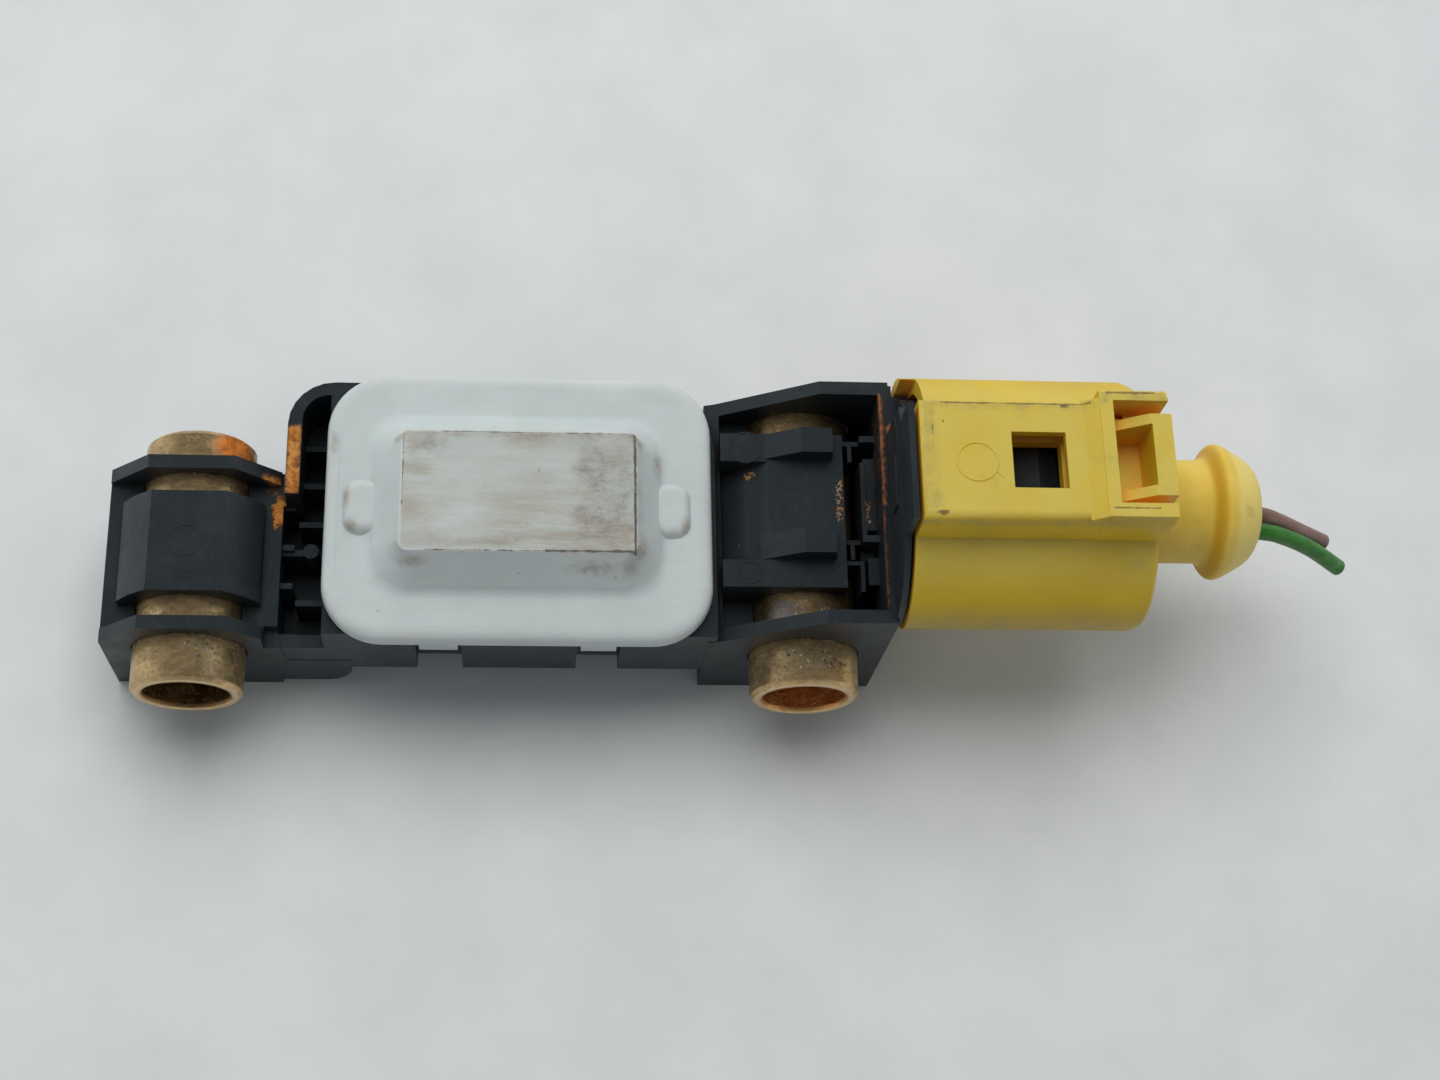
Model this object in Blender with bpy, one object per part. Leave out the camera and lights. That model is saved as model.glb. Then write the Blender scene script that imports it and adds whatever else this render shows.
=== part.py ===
"""A vehicle side-impact crash sensor with its two-way plug pushed on.

The sensor is a black moulding that carries two mounting bushes, a tray with the circuit board under a
white cover, and a socket. The yellow plug slides on to the socket along X and locks with a thumb lever.

X runs along the sensor towards the plug, Y away from the mounting face and Z up through the cover.
Lengths are millimetres until a mesh is made, and the origin is the middle of the base.
"""

import math

import bmesh
import bpy
from mathutils import Matrix, Vector

MM = 0.001
TOUCH = 0.3  # clearance between two pieces that touch
SNUG = 0.12  # clearance round a bush, which has the same facets as its seat

# Mounting bushes: the left one's axis is at X = 0.
BUSH_SPACING = 50.0
BUSH_RADIUS = 4.5
BUSH_BORE = 3.4
BUSH_AXIS_Z = 8.2
BUSH_FRONT = -14.4
LEFT_BUSH_BACK = 7.1
RIGHT_BUSH_BACK = 11.1
BUSH_SIDES = 40

# Black moulding.
WALL = 1.15
FRONT = -10.6
BOX_BACK = 10.6
EAR_BACK = 4.3
EAR_HALF = 6.9
EAR_TOP = 13.75
EAR_LEDGE = 10.0
TRAY_LEFT = 7.4
TRAY_RIGHT = 43.0
TRAY_BACK = 11.5
TRAY_BASE = 4.3
TRAY_TOP = 12.7
POCKET_WALL = 10.85
CORNER_FLOOR = 7.4
POCKET_FLOOR = 4.9
BOARD_ROOM = (13.4, 41.3, -8.1, 10.3)
TRAY_FLOOR = 5.6
BOARD_TOP = 8.3
BOARD_THICK = 1.6
BOARD_PIN_X = 39.6
BOX_LEFT = 41.9
BOX_FLOOR = 3.3
BOX_RIGHT = 56.8
BOX_END = 55.95
BOX_TOP = 16.6
SADDLE_TOP = 13.75
BAND_TOP = 15.4
SLOT_X = ((18.2, 21.9), (31.3, 34.8))
SLOT_DEPTH = 1.25

# White cover.
COVER = (10.75, 42.2, -11.6, 11.65)
COVER_BASE = TRAY_TOP + TOUCH
COVER_RIM = 14.5
HAT_BASE = (13.95, 38.4, -7.9, 7.8)
HAT_TOP = (17.1, 35.8, -5.2, 5.0)
HAT_RISE = 3.3
SKIN = 1.2

# Socket and plug, about the connector axis along X at Y = 0.
WIRE_Z = 15.05
PIN_Y = 2.4
PIN_RADIUS = 0.32
PIN_LOW = 2.15
PIN_RISE = 55.4
PIN_TURN = 57.3
PIN_END = 65.4
OVAL_Z = 16.2
SHELL = (10.6, 7.6)
SHELL_LEFT = 57.35
SHELL_RIGHT = 77.0
SHELL_WALL = 1.3
SOCKET_Z = 16.0
SOCKET = (8.9, 5.8)
SOCKET_WALL = 1.15
SOCKET_END = 70.0
SOCKET_FLOOR = 58.4
CARRIER = (7.3, 4.2)
CARRIER_LEFT = 59.4
CARRIER_RIGHT = 72.4
BLOCK_FRONT = -5.55
BLOCK_BACK = 4.5
BLOCK_TOP = 26.7
FRAME_LEFT = 71.6
FRAME_TOP = 27.6
WINDOW = (64.5, 68.8, -2.9, 1.8)
NOSE_X = (65.0, 67.4, 69.1)  # catch face, ridge and the foot of the ramp
NOSE_TOP = 23.1
LEVER_LEFT = 63.0
LEVER_PIVOT = (73.6, 24.0)
LEVER_FRONT = -3.55
LEVER_BACK = 3.4
BOOT_NECK = 4.32
BOOT_RIM = 5.66
BOOT_LEFT = 73.2
BOOT_RIGHT = 87.4
WIRE_RADIUS = 0.7
CORE_RADIUS = 0.42
OVAL_SIDES = 48

# The part's own origin: the middle of its footprint on the surface that the feet stand on.
WIRE_REACH = 96.24
ORIGIN_X = (WIRE_REACH - EAR_HALF) / 2
ORIGIN_Y = (BUSH_FRONT + COVER[3]) / 2


# ---------------------------------------------------------------- outlines


def rectangle(left, right, front, back):
    return [(left, front), (right, front), (right, back), (left, back)]


def rounded_rectangle(left, right, front, back, radius, steps=6):
    """Anticlockwise points of a rectangle whose corners are arcs, from the right back one round.

    The radius is one number, or one for each corner, where 0 leaves a sharp corner."""
    radii = radius if isinstance(radius, tuple) else (radius,) * 4
    corners = ((right, back), (left, back), (left, front), (right, front))
    inward = ((-1, -1), (1, -1), (1, 1), (-1, 1))
    points = []
    for corner, ((x, y), (in_x, in_y), r) in enumerate(zip(corners, inward, radii)):
        for step in range(steps + 1 if r else 1):
            angle = math.pi / 2 * (corner + step / steps)
            reach_x = r * (in_x + math.cos(angle)) if r else 0
            reach_y = r * (in_y + math.sin(angle)) if r else 0
            points.append((x + reach_x, y + reach_y))
    return points


def oval(half_width, half_height, centre_z, sides=OVAL_SIDES):
    turn = [2 * math.pi * (side + 0.5) / sides for side in range(sides)]
    return [(half_width * math.cos(a), centre_z + half_height * math.sin(a)) for a in turn]


def mirrored(half_outline):
    """A symmetrical outline from the points of its right half, lowest first."""
    return half_outline + [(-x, z) for x, z in reversed(half_outline)]


# ---------------------------------------------------------------- solids


def finished(bm, name):
    """The object of a mesh drawn in millimetres, moved to the part's origin."""
    bmesh.ops.recalc_face_normals(bm, faces=bm.faces)
    bmesh.ops.translate(bm, verts=bm.verts, vec=(-ORIGIN_X, -ORIGIN_Y, 0))
    bmesh.ops.scale(bm, verts=bm.verts, vec=(MM, MM, MM))
    mesh = bpy.data.meshes.new(name)
    bm.to_mesh(mesh)
    bm.free()
    obj = bpy.data.objects.new(name, mesh)
    bpy.context.scene.collection.objects.link(obj)
    return obj


def loft(name, rings):
    """A solid skinned over rings of equal count, with both ends closed."""
    bm = bmesh.new()
    loops = [[bm.verts.new(point) for point in ring] for ring in rings]
    count = len(loops[0])
    for lower, upper in zip(loops, loops[1:]):
        for i in range(count):
            j = (i + 1) % count
            bm.faces.new((lower[i], lower[j], upper[j], upper[i]))
    bm.faces.new(loops[0])
    bm.faces.new(loops[-1])
    return finished(bm, name)


def placed(axis, along, a, b):
    """The point that is this far along the axis, where a and b are its other two coordinates in order."""
    if axis == "X":
        return (along, a, b)
    return (a, along, b) if axis == "Y" else (a, b, along)


def prism(name, outline, axis, start, end):
    """An outline pushed along one axis, whose points give the other two coordinates."""
    rings = [[placed(axis, along, a, b) for a, b in outline] for along in (start, end)]
    return loft(name, rings)


def block(name, x, y, z):
    return prism(name, rectangle(*x, *y), "Z", *z)


def ring_about(axis, along, centre, radius, sides):
    turn = [2 * math.pi * (side + 0.5) / sides for side in range(sides)]
    points = []
    for angle in turn:
        a = centre[0] + radius * math.cos(angle)
        b = centre[1] + radius * math.sin(angle)
        points.append(placed(axis, along, a, b))
    return points


def turned(name, axis, centre, profile, sides):
    """A solid turned about a line along the axis, from (place, radius) pairs."""
    return loft(name, [ring_about(axis, along, centre, r, sides) for along, r in profile])


def tube(name, axis, centre, profile, sides):
    """A turned piece whose profile closes on itself, such as a bush or a ring."""
    bm = bmesh.new()
    loops = []
    for along, radius in profile:
        loops.append([bm.verts.new(p) for p in ring_about(axis, along, centre, radius, sides)])
    for lower, upper in zip(loops, loops[1:] + loops[:1]):
        for i in range(sides):
            j = (i + 1) % sides
            bm.faces.new((lower[i], lower[j], upper[j], upper[i]))
    return finished(bm, name)


def sweep(name, route, radius, sides=8):
    """A round bar along a route of points."""
    points = [Vector(point) for point in route]
    side = Vector((0, 1, 0))
    rings = []
    for i, point in enumerate(points):
        ahead = points[min(i + 1, len(points) - 1)] - points[max(i - 1, 0)]
        ahead.normalize()
        side = (side - ahead * side.dot(ahead)).normalized()
        up = ahead.cross(side)
        ring = []
        for step in range(sides):
            angle = 2 * math.pi * (step + 0.5) / sides
            ring.append(point + radius * (side * math.cos(angle) + up * math.sin(angle)))
        rings.append(ring)
    return loft(name, rings)


def combine(target, tools, operation):
    """Runs one exact Boolean for each tool, and takes the tools out of the scene."""
    for tool in tools:
        modifier = target.modifiers.new(operation, "BOOLEAN")
        modifier.operation = operation
        modifier.solver = "EXACT"
        modifier.object = tool
        graph = bpy.context.evaluated_depsgraph_get()
        mesh = bpy.data.meshes.new_from_object(target.evaluated_get(graph))
        target.modifiers.clear()
        target.data = mesh
        bpy.data.objects.remove(tool)


def join(target, *tools):
    combine(target, tools, "UNION")


def cut(target, *tools):
    combine(target, tools, "DIFFERENCE")


def material(name, colour, roughness, metallic=0.0):
    made = bpy.data.materials.new(name)
    made.use_nodes = True
    shader = made.node_tree.nodes["Principled BSDF"]
    shader.inputs["Base Color"].default_value = (*colour, 1)
    shader.inputs["Roughness"].default_value = roughness
    shader.inputs["Metallic"].default_value = metallic
    return made


def dress(obj, finish, smooth_below=35):
    obj.data.materials.clear()
    obj.data.materials.append(finish)
    obj.data.shade_smooth()
    obj.data.set_sharp_from_angle(angle=math.radians(smooth_below))
    return obj


# ---------------------------------------------------------------- the routes of pins and wires


def curve_through(points, per_span=4):
    """A smooth Catmull-Rom route through the given points."""
    controls = [Vector(p) for p in points]
    padded = [2 * controls[0] - controls[1], *controls, 2 * controls[-1] - controls[-2]]
    route = []
    for p0, p1, p2, p3 in zip(padded, padded[1:], padded[2:], padded[3:]):
        for step in range(per_span):
            t = step / per_span
            along = 2 * p1 + (p2 - p0) * t
            bend = (2 * p0 - 5 * p1 + 4 * p2 - p3) * t * t
            twist = (3 * p1 - p0 - 3 * p2 + p3) * t * t * t
            route.append((along + bend + twist) / 2)
    route.append(controls[-1])
    return route


def pin_route(side):
    """Down from the board, inside the floor under the right bush, and up the end wall to the socket."""
    y = side * PIN_Y
    return [
        (BOARD_PIN_X, y, BOARD_TOP + 1.1),
        (BOARD_PIN_X, y, 5.0),
        (41.0, y, 4.95),
        (42.5, y, PIN_LOW),
        (PIN_RISE, y, PIN_LOW),
        (PIN_RISE, y, 10.2),
        (PIN_TURN, y, 12.2),
        (PIN_TURN, y, WIRE_Z),
        (PIN_END, y, WIRE_Z),
    ]


PINS = {"front": -1, "rear": 1}
WIRES = {
    "green": [
        (69.7, -PIN_Y, WIRE_Z),
        (72.6, -PIN_Y, WIRE_Z),
        (77.5, -1.7, WIRE_Z - 0.1),
        (83.0, -1.4, WIRE_Z - 0.1),
        (88.0, -1.6, WIRE_Z - 0.25),
        (90.1, -1.85, 14.3),
        (92.7, -2.35, 13.0),
        (95.8, -3.15, 10.7),
    ],
    "brown": [
        (69.7, PIN_Y, WIRE_Z),
        (72.6, PIN_Y, WIRE_Z),
        (77.5, 1.3, WIRE_Z + 0.2),
        (83.0, 0.55, WIRE_Z + 0.1),
        (88.0, 0.1, 14.4),
        (89.75, -0.25, 13.95),
        (91.8, -0.7, 12.95),
        (94.5, -1.1, 11.35),
    ],
}


# ---------------------------------------------------------------- black moulding


def ear_profile(half_flat, half_width, shoulder, top):
    """A roof over a bush: a flat, two slopes and upright sides."""
    return mirrored([(half_width, EAR_LEDGE - 0.6), (half_width, shoulder), (half_flat, top)])


def foot_outline():
    """The ear's side view from the front: its foot, a step, and a hollow fillet up to the tray."""
    points = [(-EAR_HALF, EAR_LEDGE), (-EAR_HALF, 0), (6.8, 0), (6.8, 0.95), (10.6, 0.95)]
    for step in range(1, 6):
        angle = math.pi / 2 * step / 5
        points.append((10.6 + 2.2 * math.sin(angle), 0.95 + 3.35 * (1 - math.cos(angle))))
    points.append((12.8, 6.0))
    points.append((7.6, 6.0))
    points.append((7.3, EAR_LEDGE))
    return points


def make_ear(body):
    barrel = mirrored([(5.75, EAR_LEDGE - 0.6), (5.65, 10.9), (4.55, 12.4), (3.0, EAR_TOP)])
    flange = ear_profile(3.45, EAR_HALF, 10.3, EAR_TOP)
    join(
        body,
        prism("foot", foot_outline(), "Y", FRONT, EAR_BACK),
        prism("barrel", barrel, "Y", -7.35, 1.2),
        prism("back_flange", flange, "Y", EAR_BACK - WALL, EAR_BACK),
        prism("front_flange", flange, "Y", FRONT, FRONT + WALL),
        block("link", (6.6, 8.6), (-9.9, 1.5), (0.6, 9.4)),
    )
    under = (-0.5, 2.4)
    cut(
        body,
        block("hollow_left", (-5.8, -0.6), (FRONT + WALL, EAR_BACK - WALL), under),
        block("hollow_right", (0.6, 5.8), (FRONT + WALL, EAR_BACK - WALL), under),
    )


def make_tray(body):
    corners = (6.0, 3.8, 0, 0)
    outline = rounded_rectangle(TRAY_LEFT, TRAY_RIGHT - 0.4, FRONT + 0.05, TRAY_BACK, corners)
    join(body, prism("tray", outline, "Z", TRAY_BASE, TRAY_TOP))
    corners = (0, 2.25, 0, 0)
    pocket = rounded_rectangle(TRAY_LEFT + WALL, POCKET_WALL, FRONT + WALL, TRAY_BACK - WALL, corners)
    left, right, front, back = BOARD_ROOM
    above = TRAY_TOP + 1
    cut(
        body,
        prism("pocket", pocket, "Z", CORNER_FLOOR, above),
        block("pocket_well", (TRAY_LEFT + WALL, POCKET_WALL), (FRONT + WALL, 7.0), (POCKET_FLOOR, above)),
        block("pocket_side", (7.1, 9.6), (-9.4, 1.5), (POCKET_FLOOR, above)),
        block("low_sill", (6.0, POCKET_WALL), (FRONT - 1, -9.0), (9.1, above)),
        block("low_side", (7.1, 9.6), (-9.6, 1.5), (EAR_LEDGE - 0.4, above)),
        prism("room", rounded_rectangle(left, right, front, back, 2.0), "Z", TRAY_FLOOR, above),
    )
    slots = []
    for number, (start, end) in enumerate(SLOT_X):
        front = (FRONT - 1, FRONT + SLOT_DEPTH)
        back = (TRAY_BACK - SLOT_DEPTH + 0.35, TRAY_BACK + 1)
        slots.append(block(f"front_slot_{number}", (start, end), front, (TRAY_BASE - 1, above)))
        slots.append(block(f"back_slot_{number}", (start, end), back, (TRAY_BASE - 1, above)))
    cut(body, *slots)


def make_pocket_ribs(body):
    """Thin webs and an ejector post that stand in the pocket beside the ear."""
    ribs = []
    for number, y in enumerate((7.2, 3.8, 0.35, -6.55)):
        ribs.append(block(f"web_{number}", (8.3, 11.2), (y - 0.25, y + 0.25), (4.6, 8.6)))
    for number, y in enumerate((1.5, -2.0, -5.35)):
        ribs.append(block(f"stub_{number}", (6.6, 8.1), (y - 0.25, y + 0.25), (1.6, 9.4)))
    ribs.append(block("post_web", (6.6, 9.4), (-2.6, -2.05), (1.6, 9.0)))
    ribs.append(turned("post", "Z", (9.45, -2.35), [(1.6, 0.65), (9.5, 0.65)], 12))
    join(body, *ribs)


def box_outline():
    """The box from the front: low on the tray side, with a slope up to the end wall."""
    return [
        (BOX_LEFT, 0),
        (56.6, 0),
        (BOX_RIGHT, BOX_TOP),
        (51.1, BOX_TOP),
        (42.8, 11.65),
        (BOX_LEFT, 11.3),
    ]


def saddle_outline(top_left, top_right):
    """The seat over the right bush: a ledge, a slope on the tray side and a flat."""
    return [(43.0, 2.5), (53.2, 2.5), (53.2, top_right), (46.9, top_right), (43.0, top_left)]


def band_outline():
    return [
        (46.0, SADDLE_TOP - 0.6),
        (52.4, SADDLE_TOP - 0.6),
        (52.2, BAND_TOP),
        (49.6, BAND_TOP),
        (46.6, SADDLE_TOP - 0.05),
    ]


def make_box(body):
    join(body, prism("box", box_outline(), "Y", FRONT, BOX_BACK))
    room = rectangle(43.1, BOX_END, BOX_FLOOR, BOX_TOP + 1)
    under = (-0.5, 1.0)
    cut(
        body,
        prism("room", room, "Y", FRONT + WALL, BOX_BACK - WALL),
        block("hollow", (43.2, 55.4), (FRONT + WALL, BOX_BACK - WALL), under),
    )
    low = saddle_outline(10.5, SADDLE_TOP)
    flat = saddle_outline(SADDLE_TOP, SADDLE_TOP)
    join(
        body,
        prism("saddle", low, "Y", -6.0, 6.5),
        prism("front_seat", flat, "Y", -6.55, -4.2),
        prism("back_seat", flat, "Y", 4.5, 7.0),
        prism("front_band", band_outline(), "Y", -4.1, -1.9),
        prism("back_band", band_outline(), "Y", 4.75, 6.95),
        block("front_floor", (42.8, 53.2), (FRONT + 0.5, -6.2), (2.5, EAR_LEDGE)),
        block("back_floor", (42.8, 53.2), (6.4, BOX_BACK - 0.5), (2.5, EAR_LEDGE)),
        block("pin_wall", (54.7, 56.2), (-3.4, 4.9), (2.5, 11.5)),
        block("latch_panel", (55.0, 56.2), (-1.2, 5.25), (2.5, 12.9)),
        block("panel_edge", (54.7, 55.1), (-1.9, 4.8), (2.5, 13.2)),
        block("front_cheek", (55.05, 56.2), (-6.1, -3.75), (2.5, 13.2)),
        block("front_stay", (54.4, 54.75), (-6.7, -4.05), (2.5, 13.2)),
        block("front_stay_foot", (53.0, 54.6), (-4.4, -4.05), (2.5, 13.2)),
        block("front_bracket", (53.65, 54.0), (-3.9, -2.2), (2.5, 13.2)),
        block("front_bracket_foot", (53.0, 54.5), (-2.6, -2.2), (2.5, 13.2)),
        block("back_bracket", (53.7, 54.05), (4.8, 6.65), (2.5, 13.2)),
        block("back_bracket_foot", (53.0, 54.7), (6.25, 6.65), (2.5, 13.2)),
        block("back_ledge", (54.65, 56.2), (6.35, 6.9), (2.5, 13.9)),
        block("front_ledge", (54.6, 56.2), (-2.6, -2.0), (2.5, 13.9)),
    )


def make_socket(body):
    """The stop that the plug's end meets, the collar that it slides over, and the nose that locks it."""
    half_width, half_height = SOCKET
    outer = oval(half_width, half_height, SOCKET_Z)
    inner = oval(half_width - SOCKET_WALL, half_height - SOCKET_WALL, SOCKET_Z)
    stop = oval(SHELL[0] - 0.3, SHELL[1] - 0.3, OVAL_Z)
    left, ridge, right = NOSE_X
    nose = [(left, 21.2), (right, 21.2), (right, 21.9), (ridge, NOSE_TOP), (left, NOSE_TOP - 0.5)]
    join(
        body,
        prism("stop", stop, "X", 56.55, 57.05),
        block("lock_stop", (56.55, 57.05), (BLOCK_FRONT + 0.2, BLOCK_BACK - 0.2), (15.0, 26.3)),
        prism("collar", outer, "X", 56.5, SOCKET_END),
        block("key", (56.3, 58.3), (5.75, 9.3), (12.0, BOX_TOP)),
        block("rib", (56.3, 56.7), (-2.0, 2.3), (18.6, 20.6)),
        prism("nose", nose, "Y", -2.7, 2.1),
    )
    cut(
        body,
        prism("bay", inner, "X", SOCKET_FLOOR, SOCKET_END + 1),
        block("key_relief", (55.0, 57.4), (5.75, 12.0), (BOX_TOP, 26.5)),
    )


def make_housing(finish):
    body = block("housing", (6.0, 12.0), (-8.0, 0.0), (4.5, 5.5))
    make_ear(body)
    make_tray(body)
    make_pocket_ribs(body)
    make_box(body)
    make_socket(body)
    seat = BUSH_RADIUS + SNUG
    left = [(FRONT - 1, seat), (EAR_BACK + 1, seat)]
    right = [(FRONT - 1, seat), (BOX_BACK + 1, seat)]
    cut(
        body,
        turned("left_seat", "Y", (0, BUSH_AXIS_Z), left, BUSH_SIDES),
        turned("right_seat", "Y", (BUSH_SPACING, BUSH_AXIS_Z), right, BUSH_SIDES),
        *[sweep(f"pin_way_{name}", pin_route(side), PIN_RADIUS + 0.2) for name, side in PINS.items()],
    )
    return dress(body, finish, 30)


# ---------------------------------------------------------------- bushes, cover and board


def make_bush(name, x, back, finish):
    chamfer = 0.25
    profile = [
        (BUSH_FRONT, BUSH_BORE + chamfer),
        (BUSH_FRONT, BUSH_RADIUS - chamfer),
        (BUSH_FRONT + chamfer, BUSH_RADIUS),
        (back - chamfer, BUSH_RADIUS),
        (back, BUSH_RADIUS - chamfer),
        (back, BUSH_BORE + chamfer),
        (back - chamfer, BUSH_BORE),
        (BUSH_FRONT + chamfer, BUSH_BORE),
    ]
    return dress(tube(name, "Y", (x, BUSH_AXIS_Z), profile, BUSH_SIDES), finish)


def level(box, inset, radius, z):
    left, right, front, back = box
    outline = rounded_rectangle(
        left + inset, right - inset, front + inset, back - inset, max(radius - inset, 0.3)
    )
    return [(x, y, z) for x, y in outline]


def between(low, high, share):
    return tuple(a + (b - a) * share for a, b in zip(low, high))


def make_cover(finish):
    top = COVER_RIM + HAT_RISE
    rim = 5.0
    hat = between(HAT_BASE, HAT_TOP, 0.85)
    rings = [
        level(COVER, 0.1, rim, COVER_BASE),
        level(COVER, 0.0, rim, COVER_BASE + 0.3),
        level(COVER, 0.15, rim, COVER_RIM - 0.6),
        level(COVER, 0.55, rim, COVER_RIM - 0.15),
        level(COVER, 1.3, rim, COVER_RIM),
        level(HAT_BASE, -0.5, 3.0, COVER_RIM),
        level(HAT_BASE, 0.2, 3.0, COVER_RIM + 0.35),
        level(hat, 0.0, 2.4, top - 0.5),
        level(HAT_TOP, 0.0, 1.8, top),
    ]
    cover = loft("cover", rings)
    inner_hat = between(HAT_BASE, HAT_TOP, 0.7)
    dome = [
        level(HAT_BASE, SKIN, 2.6, COVER_BASE - 1),
        level(HAT_BASE, SKIN, 2.6, COVER_RIM - SKIN + 0.4),
        level(inner_hat, SKIN, 2.0, top - SKIN),
    ]
    lobes = []
    for name, left, right in (("left", 12.35, 15.2), ("right", 37.6, 40.3)):
        lobe = (left, right, -2.7, 1.9)
        top_lobe = level(lobe, 0.35, 1.2, COVER_RIM + 0.9)
        lobes.append(loft(f"lobe_{name}", [level(lobe, 0, 1.2, COVER_RIM - 0.3), top_lobe]))
    cut(cover, loft("dome", dome))
    tabs = []
    for number, (start, end) in enumerate(SLOT_X):
        span = (start + TOUCH, end - TOUCH)
        front = (FRONT + 0.05, FRONT + SLOT_DEPTH - TOUCH)
        back = (TRAY_BACK - SLOT_DEPTH + 0.35 + TOUCH, TRAY_BACK)
        tabs.append(block(f"front_tab_{number}", span, front, (8.9, COVER_BASE + 0.4)))
        tabs.append(block(f"back_tab_{number}", span, back, (8.9, COVER_BASE + 0.4)))
    join(cover, *lobes, *tabs)
    return dress(cover, finish, 40)


def make_cover_seal(finish):
    """A flat silicone bead that lies in the board room's mouth, under the cover."""
    left, right, front, back = BOARD_ROOM
    outer = rounded_rectangle(left + 0.3, right - 0.3, front + 0.3, back - 0.3, 1.8)
    inner = rounded_rectangle(left + 1.4, right - 1.4, front + 1.4, back - 1.4, 1.2)
    seal = prism("cover_seal", outer, "Z", TRAY_TOP - 0.9, TRAY_TOP)
    cut(seal, prism("opening", inner, "Z", TRAY_TOP - 2, TRAY_TOP + 1))
    return dress(seal, finish)


def make_board(finish):
    left, right, front, back = BOARD_ROOM
    outline = rounded_rectangle(left + 0.4, right - 0.4, front + 0.4, back - 0.4, 1.6, 3)
    board = prism("circuit_board", outline, "Z", BOARD_TOP - BOARD_THICK, BOARD_TOP)
    holes = []
    for side in PINS.values():
        hole = [(BOARD_TOP - 2, 0.65), (BOARD_TOP + 1, 0.65)]
        holes.append(turned("hole", "Z", (BOARD_PIN_X, side * PIN_Y), hole, 12))
    cut(board, *holes)
    return dress(board, finish)


def make_chip(name, x, y, z_size, finish):
    bottom = BOARD_TOP + 0.1
    chip = block(name, x, y, (bottom, bottom + z_size))
    return dress(chip, finish)


def make_storage_capacitor(finish):
    bottom = BOARD_TOP + 0.1
    profile = [(bottom, 2.0), (bottom + 0.7, 2.0), (bottom + 0.9, 1.85), (bottom + 3.6, 1.85)]
    return dress(turned("storage_capacitor", "Z", (34.6, 5.4), profile, 20), finish)


def make_pin(name, side, finish):
    return dress(sweep(name, pin_route(side), PIN_RADIUS, 8), finish)


# ---------------------------------------------------------------- plug


def lever_room():
    """The way that the lever and its thumb pad fill, with room to rock."""
    front, back = LEVER_FRONT - 0.35, LEVER_BACK + 0.35
    return (
        block("arm_room", (LEVER_LEFT - 0.4, 78.0), (front, back), (21.6, 25.9)),
        block("pad_room", (72.55, 78.0), (front - 0.5, back + 0.5), (24.6, FRAME_TOP + 1)),
    )


def make_shell(finish):
    half_width, half_height = SHELL
    ends = ((SHELL_LEFT, 0), (SHELL_RIGHT - 1.3, 0), (SHELL_RIGHT - 0.4, 0.35), (SHELL_RIGHT, 1.0))
    rings = []
    for x, inset in ends:
        rings.append([(x, y, z) for y, z in oval(half_width - inset, half_height - inset, OVAL_Z)])
    shell = loft("plug_shell", rings)
    ramp = [
        (SHELL_LEFT, 17.0),
        (SHELL_RIGHT, 17.0),
        (SHELL_RIGHT, FRAME_TOP),
        (FRAME_LEFT, FRAME_TOP),
        (FRAME_LEFT - 1.2, BLOCK_TOP),
        (SHELL_LEFT, BLOCK_TOP),
    ]
    frame = [(-5.6, 20), (5.2, 20), (5.2, 27.3), (4.9, FRAME_TOP), (-4.95, FRAME_TOP), (-5.6, 26.2)]
    join(
        shell,
        prism("block", ramp, "Y", BLOCK_FRONT, BLOCK_BACK),
        prism("frame", frame, "X", FRAME_LEFT - 0.1, SHELL_RIGHT - 0.1),
    )
    inside = oval(half_width - SHELL_WALL, half_height - SHELL_WALL, OVAL_Z)
    neck = [(SHELL_RIGHT - 3, BOOT_NECK + TOUCH), (SHELL_RIGHT + 1, BOOT_NECK + TOUCH)]
    left, right, front, back = WINDOW
    pivot_x, pivot_z = LEVER_PIVOT
    pivot = [(LEVER_FRONT - 1.05, 0.8), (LEVER_BACK + 1.05, 0.8)]
    cut(
        shell,
        prism("bay", inside, "X", SHELL_LEFT - 1, SHELL_RIGHT - 1.6),
        turned("neck_hole", "X", (0, WIRE_Z), neck, 32),
        block("window", (left, right), (front, back), (20.0, BLOCK_TOP + 1)),
        block("nose_way", (SHELL_LEFT - 1, NOSE_X[2] + 0.4), (-3.0, 2.4), (20.0, NOSE_TOP + 0.4)),
        block("key_way", (SHELL_LEFT - 1, 58.6), (5.45, 9.6), (11.7, 26.0)),
        *lever_room(),
        turned("pivot_hole", "Y", (pivot_x, pivot_z), pivot, 16),
    )
    return dress(shell, finish, 30)


def make_lever(finish):
    """The thumb lever: an arm with a crossbar left of the nose, a pivot, and a ramped thumb pad."""
    lever = block("latch_lever", (LEVER_LEFT, 77.2), (LEVER_FRONT, LEVER_BACK), (NOSE_TOP + 0.3, 24.6))
    left, right, front, back = WINDOW
    pad = [(73.0, 24.3), (77.3, 24.3), (77.3, 27.1), (75.6, 27.1), (73.0, 25.5)]
    pivot_x, pivot_z = LEVER_PIVOT
    pin = [(LEVER_FRONT - 0.75, 0.45), (LEVER_BACK + 0.75, 0.45)]
    join(
        lever,
        block("tub", (72.0, 77.2), (LEVER_FRONT, LEVER_BACK), (22.3, 24.6)),
        prism("pad", pad, "Y", LEVER_FRONT, LEVER_BACK),
        turned("pin", "Y", (pivot_x, pivot_z), pin, 12),
    )
    cut(
        lever,
        block("pocket", (72.5, 75.7), (LEVER_FRONT + 0.9, LEVER_BACK - 0.9), (22.9, 28.0)),
        block("arm_window", (left + 0.1, right + 0.1), (front + 0.1, back + 0.1), (22.0, 26.0)),
    )
    return dress(lever, finish, 30)


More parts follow.
